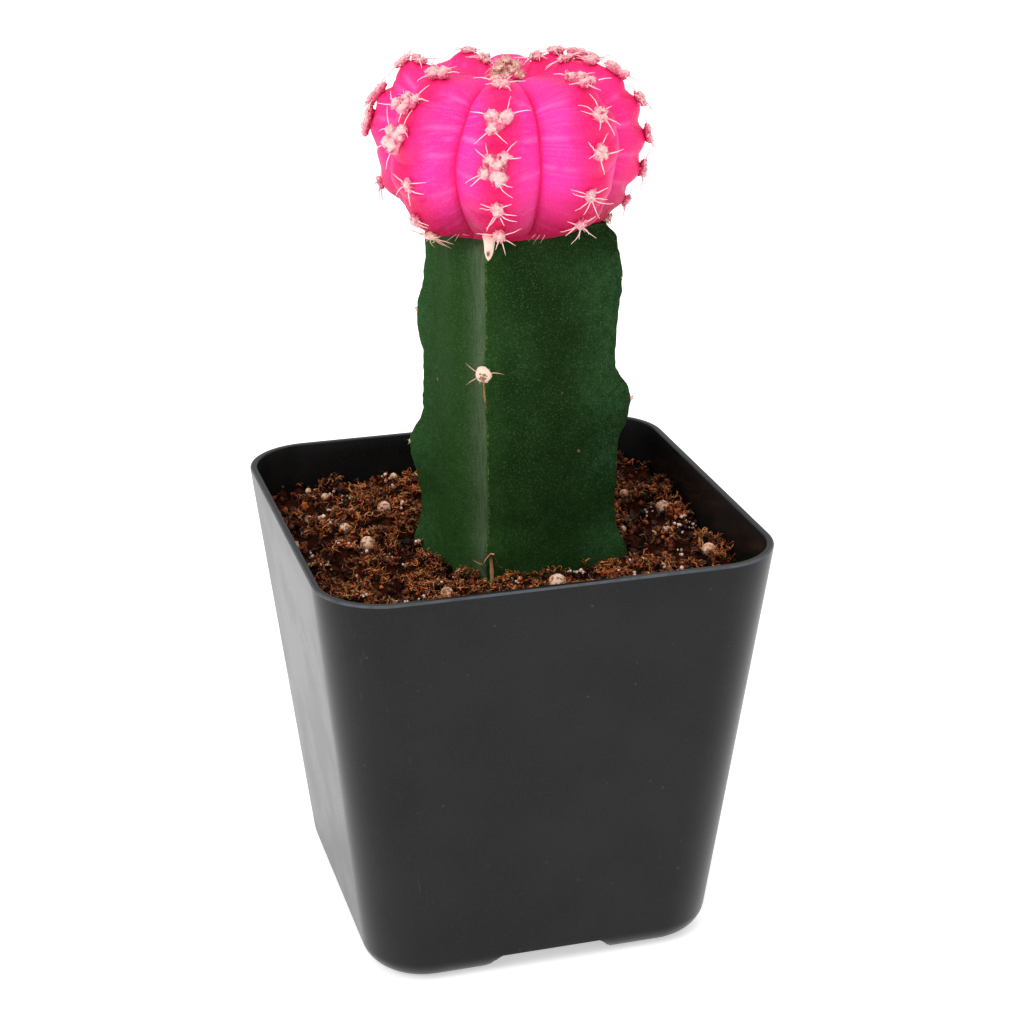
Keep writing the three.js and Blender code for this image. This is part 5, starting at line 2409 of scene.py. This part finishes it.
    def build_body(self) -> bpy.types.Object:
        """Makes the globe's body, in place of its CAD node.

        Returns:
            The piece.
        """
        columns = len(self.ribs) * self.rib_columns
        steps = np.arange(columns) / self.rib_columns
        even = steps - np.floor(steps + 0.5)
        eased = np.sign(even) * 0.5 * (1 - (1 - 2 * np.abs(even)) ** 1.25)
        ribwise = np.floor(steps + 0.5) + eased
        turn, up = np.meshgrid(ribwise, np.linspace(0, self.last_row, self.rows))
        points = self.surface(turn, up)
        points = points + self.wrinkles(points)
        batch = MeshBatch()
        faces = grid_faces(self.rows, columns, wrap=True)
        batch.add(points, faces, **self.skin_values(turn, up))
        top = np.vstack([points[-1], self.surface(0.0, 1.0)])
        level = {"across": 0.6, "rise": self.line.length}
        batch.add(top, cap_faces(0, columns, columns, True), **level)
        under = np.vstack([points[0], points[0].mean(axis=0)])
        batch.add(under, cap_faces(0, columns, columns, False), low=1)
        return settle(batch, "globe_body", "scion", self.finish, "scion", weld=True)

    def wrinkles(self, points: np.ndarray) -> np.ndarray:
        """Uneven growth of the skin, as moves of its points.

        Args:
            points: The points.

        Returns:
            A move for each.
        """
        out = unit(points - np.array([self.x, self.y, GRAFT_Z + 10]))
        fade = smoothstep(points[..., 2] - GRAFT_Z, 0, self.swell_fade)
        return out * (uneven(points, self.swells, 2) * fade)[..., None]

    def build_areoles(self) -> None:
        """Makes the areoles of all ribs and the tuft at the top."""
        maker = AreoleMaker(self.seed)
        random = np.random.default_rng(self.seed + 5)
        for number, rib in enumerate(self.ribs):
            for index, at in enumerate(rib.places):
                ribwise = number + (rib.asides[index] if index < len(rib.asides) else 0.0)
                form = self.form_at(rib, index, random)
                old = float(1 - smoothstep(at, 0.06, 0.16))
                young = float(smoothstep(at, 0.6, 0.95))
                size = lerp(1.0, 0.74, young) * random.uniform(0.92, 1.08)
                lengths = self.young_spines if old < 0.5 else self.foot_spines
                maker.add(
                    self.surface(ribwise, at), self.normal(ribwise, max(at, 0.02)), form, size,
                    SpineSet(int(random.integers(5, 9)), lengths), tan=0.7 * old * (old > 0.3),
                )
        self.add_top(maker)
        self.add_old_spines(maker)
        maker.build("globe_areole", "scion")

    def add_old_spines(self, maker: AreoleMaker) -> None:
        """Adds the few short old spines that show under the foot of two furrows.

        Args:
            maker: Gathers the spines.
        """
        t = np.linspace(0, 1, 6)
        width = self.old_spine_thickness * (1 - 0.6 * t)
        for ribwise, spines in self.old_spines:
            foot = self.surface(ribwise, self.old_spine_height)
            axes = frame_on(self.normal(ribwise, self.old_spine_height))
            for offset, turn, length in spines:
                toward = axes @ unit(np.append(polar(turn, 1.0), 0.45))
                path = foot + axes[:, 0] * offset + t[:, None] * length * toward
                add_strands(maker.spines, path, width, axes[:, 2], 5, tan=0.55, dark=0.45)

    @staticmethod
    def form_at(rib: Rib, index: int, random: np.random.Generator) -> AreoleForm:
        """Form of an areole: the rib's own where it is given, else by its height.

        Args:
            rib: The rib.
            index: Which of its areoles.
            random: Picks among the forms of the middle heights.

        Returns:
            The form.
        """
        if index < len(rib.forms):
            return rib.forms[index]
        if rib.places[index] < 0.24:
            return AreoleForm.SINGLE
        if rib.places[index] > 0.62:
            return AreoleForm.ROUND
        chance = random.random()
        if chance < 0.35:
            return AreoleForm.CLUSTER
        return AreoleForm.QUARTET if chance < 0.65 else AreoleForm.ROUND

    def add_top(self, maker: AreoleMaker) -> None:
        """Adds the mound of young wool at the top.

        Args:
            maker: Gathers the wool.
        """
        random = np.random.default_rng(self.seed + 9)
        spines = SpineSet(1, (1.2, 2.0))
        for count, reach, height in self.top_tufts:
            for turn in np.arange(count) * 360 / count:
                x, y = polar(turn + random.uniform(-14, 14), reach + random.uniform(-0.2, 0.3))
                z = GRAFT_Z + height + random.uniform(-0.25, 0.25)
                point = np.array([x + self.x, y + self.y, z])
                lean = unit(np.array([x * 0.4, y * 0.4, 1.2]))
                size, tan = self.top_tuft_size, self.top_tuft_tan
                maker.add(point, lean, AreoleForm.TUFT, size, spines, tan=tan)

    def build_bud(self) -> bpy.types.Object:
        """Makes the small bud that hangs over the stem.

        Returns:
            The piece.
        """
        rows, sides = self.bud_rows, self.bud_sides
        share = np.linspace(0, 1, rows)
        width = self.bud_radius * np.interp(share, *np.array(self.bud_profile).T)
        width[1:-1] = (width[:-2] + 2 * width[1:-1] + width[2:]) / 4
        angle = np.linspace(0, 2 * math.pi, sides, endpoint=False)
        ring = np.stack([np.cos(angle), np.sin(angle) * 0.85], -1)
        z = self.bud[2] + self.bud_length / 2 - share * self.bud_length
        lean = np.stack([-0.25 * share**2, -0.35 * share], -1)
        flat = ring[None] * width[:, None, None] + lean[:, None] + np.array(self.bud[:2])
        points = np.concatenate([flat, np.broadcast_to(z[:, None, None], (rows, sides, 1))], -1)
        points[..., :2] += 0.05 * layered_noise(points * [1.6, 1.6, 0.5], 44)[..., None]
        facing = ring @ polar(self.ribs[0].turn, 1.0)
        scar = bell(share[:, None] - 0.72, 0.1) * smoothstep(facing, 0.72, 0.96)[None]
        batch = MeshBatch()
        faces = grid_faces(rows, sides, wrap=True)[:, ::-1]
        batch.add(points, faces, reach=np.repeat(share, sides), scar=np.minimum(scar * 2.0, 1.0))
        return settle(batch, "globe_bud", "scion", BudSkin())

    def build(self) -> None:
        """Makes all of the pink cactus."""
        self.build_body()
        self.build_areoles()
        self.build_bud()


@dataclass
class StemAreoles:
    """Small felted areoles on the stem's wings, with short dark spines."""

    stem: Rootstock
    disc_radius: float = 1.25
    disc_lift: float = 0.6
    disc_spines: SpineSet = SpineSet(3, (2.2, 2.6), 0.075)
    stub_shift: Triple = (0.75, -0.5, -3.6)
    stub_height: float = 4.95
    stub_radius: float = 0.36
    small_size: float = 0.36
    small_spines: SpineSet = SpineSet(2, (0.4, 0.7), 0.07)
    seed: int = 19

    def build(self) -> None:
        """Makes the stem's areoles."""
        maker = AreoleMaker(self.seed)
        (point, outwards), (foot, _), *others = self.stem.areole_places()
        maker.add(
            point + self.disc_lift * UP, outwards, AreoleForm.DISC, self.disc_radius,
            self.disc_spines, tan=0.84, hairs=10,
        )
        maker.add_stub(foot + self.stub_shift, self.stub_height, self.stub_radius)
        for point, outwards in others:
            maker.add(
                point, outwards, AreoleForm.SINGLE, self.small_size, self.small_spines, 1.0, hairs=6
            )
        maker.build("stem_areole", "stock")


# Studio


@dataclass
class Studio:
    """Plain pale floor, soft light and the camera of the picture."""

    lens: float = 80.79
    sensor: float = 36.0
    eye: Triple = (-89.453, -321.616, 197.423)
    forward: Triple = (0.25389, 0.89469, -0.36751)
    right: Triple = (0.96156, -0.27455, -0.00410)
    up: Triple = (0.10457, 0.35234, 0.93001)
    floor_reach: float = 4000
    lamp_place: Triple = (-700, -500, 750)
    lamp_aim: Triple = (0, 0, 80)
    lamp_width: float = 500
    lamp_power: float = 5.0
    sky_strength: float = 1.0
    sky_direction: Triple = (0.1, -0.1, 1.0)
    sky_width: float = 70
    world_strength: float = 0.66

    def hang(self, name: str, data: bpy.types.ID, direction: Triple | Vector) -> bpy.types.Object:
        """Adds a lamp to the scene.

        Args:
            name: Its name.
            data: What it is.
            direction: Where it shines.

        Returns:
            The lamp.
        """
        lamp = bpy.data.objects.new(name, data)
        bpy.context.scene.collection.objects.link(lamp)
        lamp.rotation_euler = Vector(direction).to_track_quat("-Z", "Y").to_euler()
        return lamp

    def add_camera(self) -> None:
        """Places the camera where the picture was taken."""
        data = bpy.data.cameras.new("camera")
        data.lens = self.lens
        data.sensor_width = self.sensor
        data.sensor_fit = "HORIZONTAL"
        data.clip_start = 0.01
        camera = bpy.data.objects.new("camera", data)
        bpy.context.scene.collection.objects.link(camera)
        columns = [Vector(self.right), Vector(self.up), -Vector(self.forward)]
        turn = Matrix(columns).transposed().to_4x4()
        camera.matrix_world = Matrix.Translation(Vector(self.eye) * MM) @ turn
        bpy.context.scene.camera = camera

    def add_floor(self) -> None:
        """Lays the floor."""
        steps = np.linspace(-self.floor_reach, self.floor_reach, 9)
        x, y = np.meshgrid(steps, steps)
        batch = MeshBatch()
        batch.add(np.stack([x, y, np.zeros_like(x)], -1), grid_faces(9, 9, wrap=False))
        floor = batch.build("floor")
        floor.data.materials.append(StudioFloor().material())

    def add_lights(self) -> None:
        """Adds a large soft lamp, a wide even light from above and the pale world."""
        key = bpy.data.lights.new("key", "AREA")
        key.shape = "SQUARE"
        key.size = self.lamp_width * MM
        key.energy = self.lamp_power
        place = Vector(self.lamp_place) * MM
        self.hang("key", key, Vector(self.lamp_aim) * MM - place).location = place
        sky = bpy.data.lights.new("sky", "SUN")
        sky.energy = self.sky_strength
        sky.angle = math.radians(self.sky_width)
        self.hang("sky", sky, -Vector(self.sky_direction))
        world = bpy.data.worlds.new("studio")
        bpy.context.scene.world = world
        world.use_nodes = True
        background = world.node_tree.nodes["Background"].inputs
        background[0].default_value = (1, 1, 1, 1)
        background[1].default_value = self.world_strength

    def build(self) -> None:
        """Sets up the whole studio."""
        self.add_camera()
        self.add_floor()
        self.add_lights()
        bpy.context.scene.view_settings.view_transform = "Standard"


def main() -> None:
    """Builds the studio and the potted cactus."""
    logging.basicConfig(level=logging.INFO, format="%(name)s: %(message)s")
    Studio().build()
    pot = NurseryPot()
    pot.build()
    stem = Rootstock()
    stem.build()
    StemAreoles(stem).build()
    PottingSoil(pot=pot, stem=stem).build()
    PinkGlobe().build()


if __name__ == "__main__":
    main()
